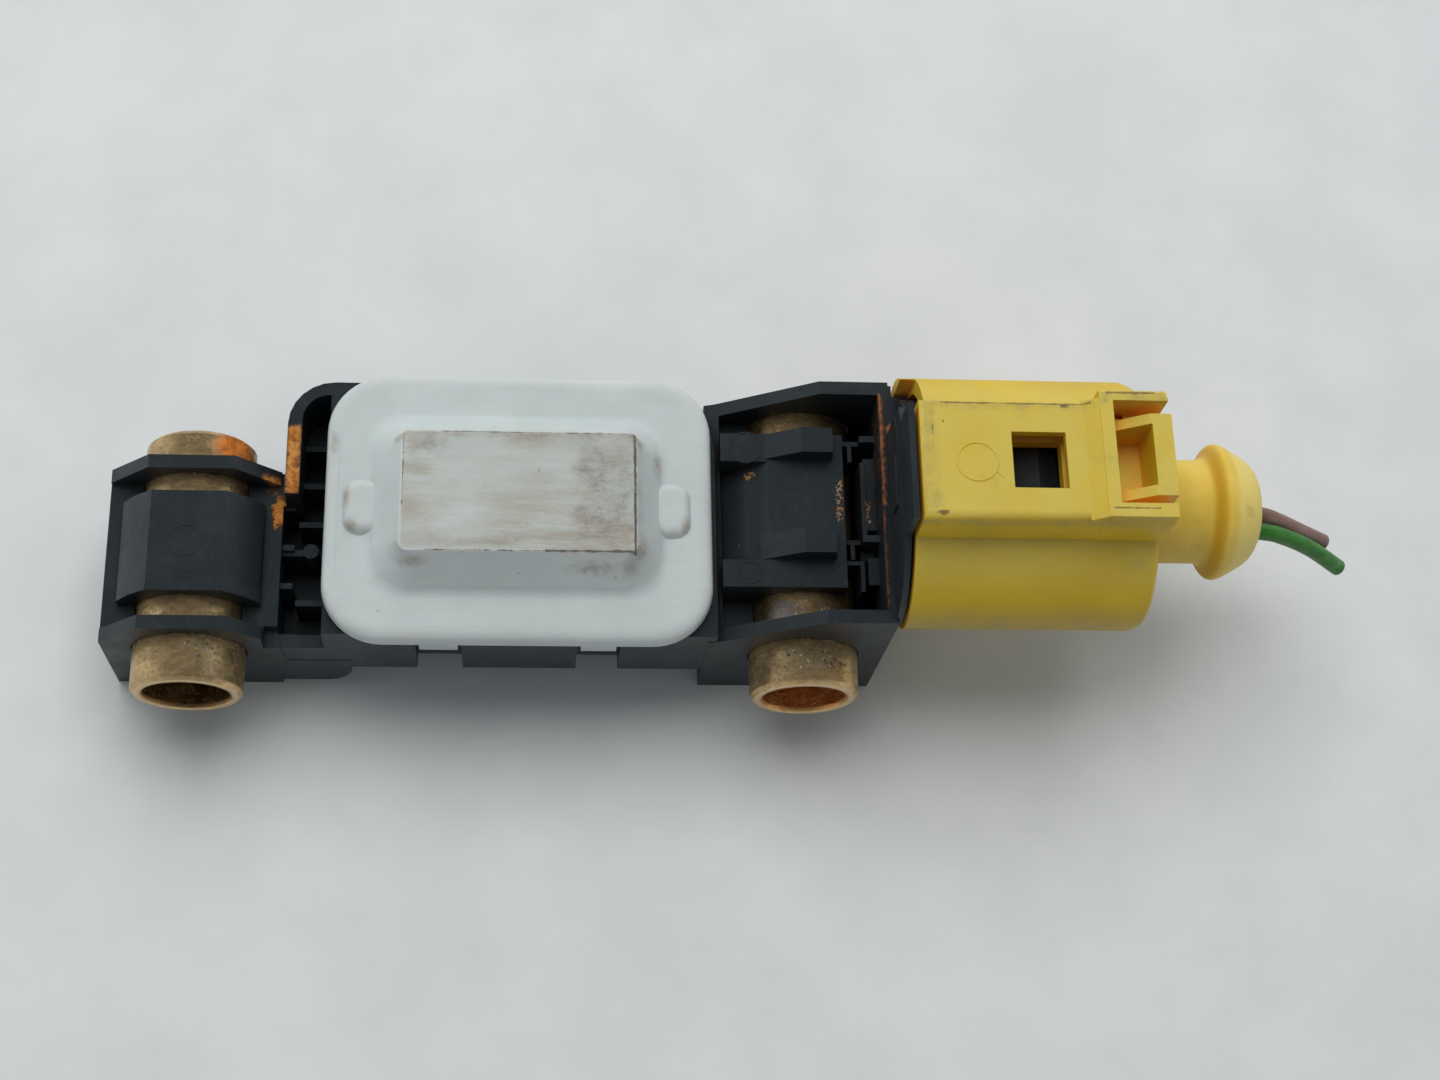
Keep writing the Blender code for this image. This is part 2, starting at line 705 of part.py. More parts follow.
def make_carrier(finish):
    """The plug's inner body, which holds the two terminals and goes inside the socket."""
    carrier = prism("terminal_carrier", oval(*CARRIER, SOCKET_Z, 40), "X", CARRIER_LEFT, CARRIER_RIGHT)
    cutters = []
    for side in (-1, 1):
        y = side * PIN_Y
        way = (CARRIER_LEFT + 1.3, CARRIER_RIGHT + 1)
        mouth = (CARRIER_LEFT - 1, CARRIER_LEFT + 2)
        cutters.append(block("way", way, (y - 1.4, y + 1.4), (WIRE_Z - 1.3, WIRE_Z + 1.3)))
        cutters.append(block("mouth", mouth, (y - 0.8, y + 0.8), (WIRE_Z - 0.8, WIRE_Z + 0.8)))
    half_width, half_height = CARRIER
    wide = oval(half_width + 1, half_height + 1, SOCKET_Z, 40)
    groove = prism("groove", wide, "X", 62.0, 63.8)
    cut(groove, prism("kept", oval(half_width - 0.7, half_height - 0.7, SOCKET_Z, 40), "X", 61, 65))
    cut(carrier, *cutters, groove)
    return dress(carrier, finish, 30)


def make_carrier_seal(finish):
    half_width, half_height = CARRIER
    outer = oval(half_width + 0.2, half_height + 0.2, SOCKET_Z, 40)
    inner = oval(half_width - 0.55, half_height - 0.55, SOCKET_Z, 40)
    seal = prism("carrier_seal", outer, "X", 62.25, 63.55)
    cut(seal, prism("opening", inner, "X", 61, 65))
    return dress(seal, finish)


def make_terminal(name, side, finish):
    """A receptacle: a box that the pin enters, and a barrel crimped on the wire's core."""
    y = side * PIN_Y
    box = block(name, (61.2, 66.6), (y - 1.1, y + 1.1), (WIRE_Z - 1.0, WIRE_Z + 1.0))
    barrel = [(66.2, 0.85), (69.4, 0.85)]
    bore = [(65.8, CORE_RADIUS + 0.15), (69.8, CORE_RADIUS + 0.15)]
    join(box, turned("barrel", "X", (y, WIRE_Z), barrel, 12))
    cut(
        box,
        block("inside", (60.8, 65.9), (y - 0.8, y + 0.8), (WIRE_Z - 0.7, WIRE_Z + 0.7)),
        turned("bore", "X", (y, WIRE_Z), bore, 12),
    )
    return dress(box, finish, 30)


def boot_profile():
    """Neck, flared lip, and a cone that turns over into a blunt end."""
    return [
        (BOOT_LEFT, 4.0),
        (BOOT_LEFT + 0.4, BOOT_NECK),
        (82.5, BOOT_NECK),
        (83.1, 5.1),
        (83.45, 5.52),
        (83.85, BOOT_RIM),
        (84.35, 5.48),
        (86.1, 4.45),
        (86.65, 3.95),
        (87.05, 3.3),
        (87.25, 2.6),
        (BOOT_RIGHT, 0.6),
    ]


def make_boot(finish):
    boot = turned("wire_boot", "X", (0, WIRE_Z), boot_profile(), 32)
    ways = []
    for name, points in WIRES.items():
        inside = [(BOOT_LEFT - 1.2, *points[1][1:]), *points[1:5], (89.5, *points[5][1:])]
        ways.append(sweep(f"{name}_way", curve_through(inside), WIRE_RADIUS + 0.16, 8))
    cut(boot, *ways)
    return dress(boot, finish, 40)


def make_wire(name, points, insulation, copper):
    """The insulation is a tube over the core, which shows at the cut end and enters the terminal."""
    route = curve_through(points)
    start = Vector(points[0])
    jacket = sweep(f"{name}_wire", route, WIRE_RADIUS, 8)
    ahead = (route[-1] - route[-2]).normalized()
    through = [start - Vector((0.5, 0, 0)), *route[1:-1], route[-1] + ahead]
    cut(jacket, sweep("core_way", through, CORE_RADIUS + 0.1, 6))
    bare = [start - Vector((2.6, 0, 0)), *route[1:-1], route[-1] + ahead * 0.25]
    core = sweep(f"{name}_core", bare, CORE_RADIUS, 6)
    return dress(jacket, insulation), dress(core, copper)


# ---------------------------------------------------------------- assembly


def pivot_empty(name, place, parent=None):
    """An empty on a joint's axis, which its pieces are parented to without moving them."""
    empty = bpy.data.objects.new(name, None)
    bpy.context.scene.collection.objects.link(empty)
    x, y, z = place
    empty.location = ((x - ORIGIN_X) * MM, (y - ORIGIN_Y) * MM, z * MM)
    if parent:
        empty.parent = parent
        empty.location -= parent.location
    return empty


def carry(parent, pieces):
    bpy.context.view_layer.update()
    for piece in pieces:
        piece.parent = parent
        piece.matrix_parent_inverse = parent.matrix_world.inverted()


def build():
    for obj in list(bpy.data.objects):
        bpy.data.objects.remove(obj)
    black = material("black_pbt", (0.035, 0.042, 0.048), 0.5)
    bronze = material("aged_bronze", (0.42, 0.29, 0.14), 0.4, 1.0)
    white = material("milky_white", (0.78, 0.83, 0.85), 0.45)
    yellow = material("plug_yellow", (0.72, 0.55, 0.08), 0.45)
    rubber = material("boot_yellow", (0.75, 0.52, 0.12), 0.6)
    silicone = material("silicone_grey", (0.3, 0.3, 0.3), 0.7)
    laminate = material("board_green", (0.03, 0.16, 0.06), 0.5)
    epoxy = material("chip_black", (0.02, 0.02, 0.02), 0.45)
    tinned = material("tinned_brass", (0.7, 0.68, 0.62), 0.3, 1.0)
    ceramic = material("capacitor_tan", (0.45, 0.32, 0.2), 0.4)
    copper = material("copper", (0.75, 0.35, 0.2), 0.3, 1.0)
    green = material("green_pvc", (0.05, 0.35, 0.08), 0.45)
    brown = material("brown_pvc", (0.3, 0.2, 0.16), 0.5)

    make_housing(black)
    make_bush("left_bush", 0, LEFT_BUSH_BACK, bronze)
    make_bush("right_bush", BUSH_SPACING, RIGHT_BUSH_BACK, bronze)
    make_cover(white)
    make_cover_seal(silicone)
    make_board(laminate)
    make_chip("acceleration_chip", (17.0, 24.5), (-3.2, 3.4), 2.2, epoxy)
    make_chip("interface_chip", (27.5, 31.5), (-4.4, 0.6), 1.4, epoxy)
    make_chip("input_capacitor", (33.4, 35.4), (-5.0, -3.7), 1.1, ceramic)
    make_chip("output_capacitor", (28.0, 30.0), (4.2, 5.5), 1.1, ceramic)
    make_chip("reverse_diode", (22.0, 26.0), (5.6, 8.0), 1.9, epoxy)
    make_storage_capacitor(tinned)
    for name, side in PINS.items():
        make_pin(f"{name}_pin", side, tinned)

    plug = pivot_empty("plug_slide", (SHELL_LEFT, 0, WIRE_Z))
    pieces = [
        make_shell(yellow),
        make_carrier(yellow),
        make_carrier_seal(silicone),
        make_terminal("front_terminal", -1, tinned),
        make_terminal("rear_terminal", 1, tinned),
        make_boot(rubber),
        *make_wire("green", WIRES["green"], green, copper),
        *make_wire("brown", WIRES["brown"], brown, copper),
    ]
    carry(plug, pieces)
    hinge = pivot_empty("lever_hinge", (LEVER_PIVOT[0], 0, LEVER_PIVOT[1]), plug)
    carry(hinge, [make_lever(yellow)])


build()
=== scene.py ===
"""The looks of a used vehicle crash sensor with its yellow plug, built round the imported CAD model.

Lengths are millimetres until a mesh is made. They are measured from the left bush's axis along X, from
the middle of the moulding along Y and from the ground, and the CAD model gives that place in the frame.
"""

import math

import bmesh
import bpy
from mathutils import Matrix, Vector


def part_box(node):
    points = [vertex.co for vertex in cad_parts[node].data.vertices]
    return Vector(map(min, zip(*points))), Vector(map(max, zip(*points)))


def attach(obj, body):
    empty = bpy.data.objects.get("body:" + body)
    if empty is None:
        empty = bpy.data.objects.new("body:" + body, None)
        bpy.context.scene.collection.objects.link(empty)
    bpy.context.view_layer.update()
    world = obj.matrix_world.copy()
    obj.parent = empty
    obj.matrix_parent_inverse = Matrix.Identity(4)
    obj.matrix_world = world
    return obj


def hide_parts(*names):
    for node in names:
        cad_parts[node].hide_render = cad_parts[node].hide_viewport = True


MM = 0.001
BUSH_FRONT = -14.4

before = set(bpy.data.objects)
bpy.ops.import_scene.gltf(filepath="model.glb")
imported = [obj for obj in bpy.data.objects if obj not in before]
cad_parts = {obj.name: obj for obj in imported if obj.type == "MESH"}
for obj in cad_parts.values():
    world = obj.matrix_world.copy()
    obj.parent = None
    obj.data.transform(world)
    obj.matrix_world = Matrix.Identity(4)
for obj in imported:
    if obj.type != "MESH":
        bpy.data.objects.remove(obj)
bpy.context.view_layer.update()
bush_low, bush_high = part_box("left_bush")
BASE = Vector(((bush_low.x + bush_high.x) / 2, bush_low.y - BUSH_FRONT * MM, 0))


def at(x, y, z):
    """The place in the frame of a point given in millimetres."""
    return BASE + Vector((x, y, z)) * MM


def span(node, axis):
    """The lowest and highest coordinate of a CAD node along one axis, in millimetres."""
    low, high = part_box(node)
    return (low - BASE)[axis] / MM, (high - BASE)[axis] / MM


# ---------------------------------------------------------------- camera, floor and light

LENS = 55.37
SENSOR_WIDTH = 36
NEAR_CLIP = 0.01
AIM = (44.14, 2.82, 0)
DISTANCE = 195.68
ELEVATION = math.radians(68.14)
AZIMUTH = math.radians(-13.99)
ROLL = math.radians(13.75)

ROOF_POWER = 2.45
ROOF_COLOUR = (1.0, 0.985, 0.965)
SKY_COLOUR = (0.90, 0.96, 1.0, 1)
LOW_SKY = 0.85
HIGH_SKY = 0.2
FRONT_SHARE = 0.6


def make_camera():
    back = Vector(
        (
            math.sin(AZIMUTH) * math.cos(ELEVATION),
            -math.cos(AZIMUTH) * math.cos(ELEVATION),
            math.sin(ELEVATION),
        )
    )
    level_right = (-back).cross(Vector((0, 0, 1))).normalized()
    level_up = level_right.cross(-back)
    right = level_right * math.cos(ROLL) + level_up * math.sin(ROLL)
    up = level_up * math.cos(ROLL) - level_right * math.sin(ROLL)
    data = bpy.data.cameras.new("camera")
    data.lens = LENS
    data.sensor_width = SENSOR_WIDTH
    data.clip_start = NEAR_CLIP
    camera = bpy.data.objects.new("camera", data)
    bpy.context.scene.collection.objects.link(camera)
    camera.matrix_world = Matrix.Translation(at(*AIM) + back * DISTANCE * MM) @ Matrix(
        (right, up, back)
    ).transposed().to_4x4()
    bpy.context.scene.camera = camera


def make_area_light(name, place, aim, size, power, colour):
    """A soft light that shines on surfaces without being mirrored in them."""
    data = bpy.data.lights.new(name, "AREA")
    data.shape = "RECTANGLE"
    data.size, data.size_y = (side * MM for side in size)
    data.energy = power
    data.color = colour
    light = bpy.data.objects.new(name, data)
    bpy.context.scene.collection.objects.link(light)
    light.location = at(*place)
    light.rotation_euler = (at(*aim) - at(*place)).to_track_quat("-Z", "Y").to_euler()
    light.visible_glossy = False


def make_sky():
    """A pale room: bright low down at the back and sides, darker overhead and in front."""
    world = bpy.data.worlds.new("sky")
    world.use_nodes = True
    nodes, links = world.node_tree.nodes, world.node_tree.links
    direction = nodes.new("ShaderNodeTexCoord").outputs["Generated"]
    parts = nodes.new("ShaderNodeSeparateXYZ")
    links.new(direction, parts.inputs[0])
    ranges = []
    falls = (("Z", 0.15, 0.85, LOW_SKY, HIGH_SKY), ("Y", -0.8, 0.5, FRONT_SHARE, 1.0))
    for axis, low, high, start, end in falls:
        spread = nodes.new("ShaderNodeMapRange")
        spread.interpolation_type = "SMOOTHSTEP"
        links.new(parts.outputs[axis], spread.inputs["Value"])
        for place, value in enumerate((low, high, start, end), 1):
            spread.inputs[place].default_value = value
        ranges.append(spread.outputs[0])
    strength = nodes.new("ShaderNodeMath")
    strength.operation = "MULTIPLY"
    links.new(ranges[0], strength.inputs[0])
    links.new(ranges[1], strength.inputs[1])
    links.new(strength.outputs[0], nodes["Background"].inputs["Strength"])
    nodes["Background"].inputs["Color"].default_value = SKY_COLOUR
    bpy.context.scene.world = world


def make_light():
    """Soft daylight: a wide roof light behind, and the sky."""
    make_area_light("roof_light", (0, 200, 480), (40, 0, 8), (520, 420), ROOF_POWER, ROOF_COLOUR)
    make_sky()


# ---------------------------------------------------------------- material graphs


class Paint:
    """One material and the node graph that drives its Principled shader."""

    def __init__(self, name):
        self.material = bpy.data.materials.new(name)
        self.material.use_nodes = True
        self.tree = self.material.node_tree
        self.shader = self.tree.nodes["Principled BSDF"]
        self.place = self.node("ShaderNodeTexCoord").outputs["Object"]

    def node(self, kind, inputs=None, **settings):
        made = self.tree.nodes.new(kind)
        for key, value in settings.items():
            setattr(made, key, value)
        for key, value in (inputs or {}).items():
            self.feed(made.inputs[key], value)
        return made

    def feed(self, socket, value):
        if isinstance(value, bpy.types.NodeSocket):
            self.tree.links.new(value, socket)
        else:
            socket.default_value = value

    def set(self, **values):
        """Sets the shader's sockets, named with underscores for spaces."""
        for key, value in values.items():
            if isinstance(value, tuple):
                value = (*value, 1)
            self.feed(self.shader.inputs[key.replace("_", " ")], value)
        return self.material

    def maths(self, operation, a, b=0.0):
        made = self.node("ShaderNodeMath", {0: a, 1: b}, operation=operation)
        return made.outputs[0]

    def noise(self, size, detail=4.0, roughness=0.55, stretch=(1, 1, 1)):
        """Noise from 0 to 1, with features this many millimetres across, stretched along each axis."""
        scale = tuple(1 / (size * MM * longer) for longer in stretch)
        spread = self.node("ShaderNodeMapping", {"Vector": self.place, "Scale": scale})
        texture = {"Vector": spread.outputs[0], "Scale": 1.0, "Detail": detail, "Roughness": roughness}
        return self.node("ShaderNodeTexNoise", texture).outputs[0]

    def ramp(self, value, low, high, start=0.0, end=1.0):
        """Turns low to high into start to end, smoothly, and holds outside."""
        inputs = {"Value": value, 1: low, 2: high, 3: start, 4: end}
        return self.node("ShaderNodeMapRange", inputs, interpolation_type="SMOOTHSTEP").outputs[0]

    def blend(self, share, first, second):
        """A colour between two, each given as a colour or an earlier result."""
        made = self.node("ShaderNodeMix", data_type="RGBA")
        colours = [(*c, 1) if isinstance(c, tuple) else c for c in (first, second)]
        self.feed(made.inputs[0], share)
        self.feed(made.inputs[6], colours[0])
        self.feed(made.inputs[7], colours[1])
        return made.outputs[2]

    def spot(self, centre, size, ragged=0.5, grain=1.0, edge=0.35):
        """1 inside an ellipsoid round a place and 0 outside, with a border broken up by noise."""
        away = self.node("ShaderNodeVectorMath", {0: self.place, 1: at(*centre)}, operation="SUBTRACT")
        halves = Vector(size) * MM
        share = self.node("ShaderNodeVectorMath", {0: away.outputs[0], 1: halves}, operation="DIVIDE")
        length = self.node("ShaderNodeVectorMath", {0: share.outputs[0]}, operation="LENGTH")
        wander = self.maths("MULTIPLY", self.maths("SUBTRACT", self.noise(grain, 6, 0.65), 0.5), 2 * ragged)
        return self.ramp(self.maths("ADD", length.outputs["Value"], wander), 1 - edge, 1, 1, 0)

    def patch(self, x, y, z, ragged=0.5, grain=1.0, fade=0.3):
        """1 inside a box of millimetre ranges, fading to 0 outside over a border that noise eats into."""
        wander = self.maths("MULTIPLY", self.maths("SUBTRACT", self.noise(grain, 6, 0.7), 0.5), 2 * ragged)
        place = self.node("ShaderNodeSeparateXYZ", {0: self.place})
        inside = 1.0
        for axis, (low, high) in enumerate((x, y, z)):
            middle = BASE[axis] / MM + (low + high) / 2
            along = self.maths("DIVIDE", place.outputs[axis], MM)
            away = self.maths("ABSOLUTE", self.maths("SUBTRACT", along, middle))
            depth = self.maths("SUBTRACT", (high - low) / 2, away)
            share = self.ramp(self.maths("ADD", depth, wander), 0.0, fade)
            inside = self.maths("MULTIPLY", inside, share)
        return inside

    def near_line(self, axis, centre, reach, border=0.1):
        """1 closer than this many millimetres to a line along an axis, and 0 farther out."""
        across = Vector([0 if name == axis else 1 for name in "XYZ"])
        away = self.node("ShaderNodeVectorMath", {0: self.place, 1: at(*centre)}, operation="SUBTRACT")
        flat = self.node("ShaderNodeVectorMath", {0: away.outputs[0], 1: across}, operation="MULTIPLY")
        length = self.node("ShaderNodeVectorMath", {0: flat.outputs[0]}, operation="LENGTH")
        distance = self.maths("DIVIDE", length.outputs["Value"], MM)
        return self.ramp(distance, reach - border, reach + border, 1, 0)

    def facing(self, axis):
        """How squarely the surface faces along an axis, either way."""
        normal = self.node("ShaderNodeNewGeometry").outputs["Normal"]
        part = self.node("ShaderNodeSeparateXYZ", {0: normal}).outputs[axis]
        return self.maths("ABSOLUTE", part)

    def any_of(self, *masks):
        """The strongest of several masks."""
        strongest = masks[0]
        for mask in masks[1:]:
            strongest = self.maths("MAXIMUM", strongest, mask)
        return strongest

    def hollow(self, reach):
        """1 deep in corners and slots, 0 in the open, looking this many millimetres around."""
        found = self.node("ShaderNodeAmbientOcclusion", {"Distance": reach * MM}, samples=6)
        return self.maths("SUBTRACT", 1.0, found.outputs["AO"])

    def facing_up(self):
        """The upward share of the surface's own direction."""
        normal = self.node("ShaderNodeNewGeometry").outputs["Normal"]
        return self.node("ShaderNodeSeparateXYZ", {0: normal}).outputs["Z"]

    def bump(self, *layers):
        """Relief from (height, depth in millimetres) pairs, one on another."""
        normal = None
        for height, depth in layers:
            inputs = {"Height": height, "Distance": depth * MM, "Strength": 1.0}
            made = self.node("ShaderNodeBump", inputs)
            if normal:
                self.feed(made.inputs["Normal"], normal)
            normal = made.outputs[0]
        self.feed(self.shader.inputs["Normal"], normal)


RUST = (0.33, 0.10, 0.015)
PALE_RUST = (0.52, 0.24, 0.055)


def black_moulding():
    """Glass-filled polyester: satin and fine-grained, with dust, lines of rust and a few beige flecks."""
    paint = Paint("black_moulding")
    dust = paint.ramp(paint.noise(5, 6, 0.7), 0.45, 0.8)
    base = paint.blend(dust, (0.013, 0.018, 0.022), (0.022, 0.029, 0.034))
    fibre = paint.ramp(paint.noise(0.35, 3, 0.6, (1, 3, 1)), 0.5, 0.85, 0, 0.3)
    base = paint.blend(fibre, base, (0.045, 0.052, 0.056))
    plate = paint.patch((42.5, 53), (-4.2, 4.8), (11.5, 13.2), 0.6, 2.0, 1.2)
    base = paint.blend(paint.maths("MULTIPLY", plate, 0.6), base, (0.043, 0.046, 0.045))
    # Grime and painted shade: hollows and corners are darkened through an ambient occlusion mask.
    grime_and_shade = paint.ramp(paint.hollow(1.2), 0.25, 0.75, 0, 0.5)
    base = paint.blend(grime_and_shade, base, (0.016, 0.014, 0.011))
    dirty = paint.any_of(
        paint.spot((45.3, 3.7, 12.9), (0.7, 0.5, 0.8), 0.7, 0.35),
        paint.spot((44.4, 1.2, 12.6), (0.3, 0.5, 0.8), 0.7, 0.35),
        paint.spot((44.5, -2.2, 12.6), (0.45, 0.4, 0.8), 0.7, 0.4),
        paint.patch((55.0, 55.6), (-0.9, 1.6), (12, 13.5), 0.5, 0.5),
        paint.patch((52.4, 53.2), (-0.8, 3.0), (13, 14.2), 0.5, 0.6),
    )
    crumbs = paint.maths("MULTIPLY", dirty, paint.ramp(paint.noise(0.28, 3, 0.6), 0.52, 0.58))
    base = paint.blend(paint.maths("MULTIPLY", crumbs, 0.8), base, (0.34, 0.26, 0.17))
    rust = paint.any_of(
        paint.patch((7.2, 8.75), (1.3, 7.7), (12.1, 13.2), 0.3, 0.6, 0.5),
        paint.spot((6.4, 2.6, 11.8), (1.2, 1.4, 2.2), 0.6, 0.8),
        paint.spot((6.8, 0.9, 10.1), (0.7, 1.6, 1.0), 0.8, 0.5),
        paint.patch((55.8, 56.36), (-0.6, 9.6), (16.0, 17.0), 0.45, 0.5, 0.3),
        paint.patch((55.8, 56.14), (-9.4, -0.6), (16.0, 17.0), 0.45, 0.7, 0.3),
        paint.patch((55.8, 56.1), (2.5, 9.4), (12.5, 16.9), 0.6, 0.7, 0.8),
        paint.spot((57.2, 6.3, 16.6), (0.9, 0.7, 0.5), 0.6, 0.5),
        paint.maths("MULTIPLY", dirty, paint.ramp(paint.noise(0.4, 3, 0.6), 0.52, 0.6)),
        paint.spot((46.9, 8.6, 9.0), (1.6, 0.5, 0.7), 0.8, 0.6),
    )
    thin = paint.ramp(paint.noise(0.8, 5, 0.7), 0.3, 0.5)
    rust = paint.maths("MULTIPLY", rust, paint.ramp(thin, 0, 1, 0.45, 1))
    tone = paint.blend(paint.ramp(paint.noise(0.6, 4, 0.65), 0.35, 0.65), RUST, PALE_RUST)
    tone = paint.blend(paint.patch((55, 58), (-10, 10), (12, 18)), tone, (0.25, 0.09, 0.03))
    base = paint.blend(rust, base, tone)
    gloss = paint.ramp(paint.noise(3, 5, 0.6), 0.3, 0.7, 0.38, 0.5)
    gloss = paint.maths("ADD", gloss, paint.maths("MULTIPLY", rust, 0.4))
    paint.bump((paint.noise(0.16, 3, 0.6), 0.014), (rust, 0.08))
    return paint.set(Base_Color=base, Roughness=gloss, IOR=1.5)


def aged_bronze(name, axis_x, bore_tone_and_light, tarnish_spots):
    """Sintered bronze: brown, bright where it was faced, warm in its bore with painted light and shade
    there, blotched by corrosion.
    """
    paint = Paint(name)
    fine = paint.ramp(paint.noise(0.9, 6, 0.7, (1, 0.5, 1)), 0.3, 0.75)
    base = paint.blend(fine, (0.56, 0.375, 0.175), (0.84, 0.60, 0.31))
    stain = paint.ramp(paint.noise(2.6, 5, 0.65), 0.42, 0.68)
    base = paint.blend(paint.maths("MULTIPLY", stain, 0.55), base, (0.30, 0.205, 0.115))
    faced = paint.ramp(paint.facing("Y"), 0.75, 0.95)
    base = paint.blend(faced, base, (0.74, 0.55, 0.32))
    # The bore colour is given per bush. It holds the painted light and shade inside the bore as well as the
    # metal's warm tone.
    inside = paint.near_line("Y", (axis_x, 0, 8.2), 3.55)
    base = paint.blend(inside, base, bore_tone_and_light)
    pits = paint.ramp(paint.noise(0.42, 4, 0.75), 0.53, 0.62)
    corroded = paint.any_of(*[paint.spot(place, size, 0.75, 0.9) for place, size in tarnish_spots])
    dark = paint.maths("MULTIPLY", corroded, pits)
    base = paint.blend(dark, base, (0.05, 0.05, 0.052))
    crust = paint.maths("MULTIPLY", corroded, paint.ramp(paint.noise(0.5, 3, 0.6), 0.56, 0.6))
    base = paint.blend(paint.maths("MULTIPLY", crust, 0.7), base, (0.62, 0.55, 0.42))
    roughness = paint.ramp(paint.noise(1.5, 5, 0.6), 0.3, 0.7, 0.28, 0.46)
    roughness = paint.maths("ADD", roughness, paint.maths("MULTIPLY", dark, 0.35))
    metal = paint.maths("SUBTRACT", 0.95, paint.maths("MULTIPLY", dark, 0.75))
    lines = paint.noise(0.12, 2, 0.5, (6, 1, 6))
    paint.bump((lines, 0.006), (pits, -0.02))
    return paint, base, roughness, metal


def left_bronze():
    tarnish = [((2.0, -12.4, 12.2), (1.4, 1.7, 1.4)), ((0.9, -11.6, 12.4), (1.2, 0.7, 1.2))]
    # The left bore's colour is dark: painted shade inside it.
    paint, base, roughness, metal = aged_bronze("left_bronze", 0, (0.26, 0.15, 0.06), tarnish)
    rust = paint.any_of(
        paint.spot((3.1, 5.9, 11.4), (2.6, 2.2, 2.6), 0.35, 1.0, 0.6),
        paint.spot((3.8, 4.9, 10.4), (1.6, 2.2, 2.4), 0.5, 0.8, 0.6),
    )
    tone = paint.blend(paint.ramp(paint.noise(0.8, 5, 0.6), 0.35, 0.65), RUST, (0.68, 0.21, 0.035))
    base = paint.blend(rust, base, tone)
    metal = paint.maths("MULTIPLY", metal, paint.maths("SUBTRACT", 1.0, rust))
    roughness = paint.maths("MAXIMUM", roughness, paint.maths("MULTIPLY", rust, 0.85))
    return paint.set(Base_Color=base, Roughness=roughness, Metallic=metal)


def right_bronze():
    tarnish = [
        ((49.0, -12.2, 12.6), (2.2, 1.2, 1.2)),
        ((51.6, -12.4, 12.3), (2.2, 1.3, 1.6)),
        ((48.0, -8.4, 12.5), (2.4, 1.6, 1.2)),
        ((52.0, -8.8, 12.2), (1.8, 1.2, 1.4)),
    ]
    # The right bore's colour is bright: painted light inside it.
    paint, base, roughness, metal = aged_bronze("right_bronze", 50, (0.72, 0.36, 0.13), tarnish)
    milk = paint.maths("MULTIPLY", paint.spot((47.6, -8.3, 12.2), (2.0, 1.3, 1.2), 0.8, 0.7), 0.55)
    base = paint.blend(milk, base, (0.26, 0.29, 0.36))
    return paint.set(Base_Color=base, Roughness=roughness, Metallic=metal)


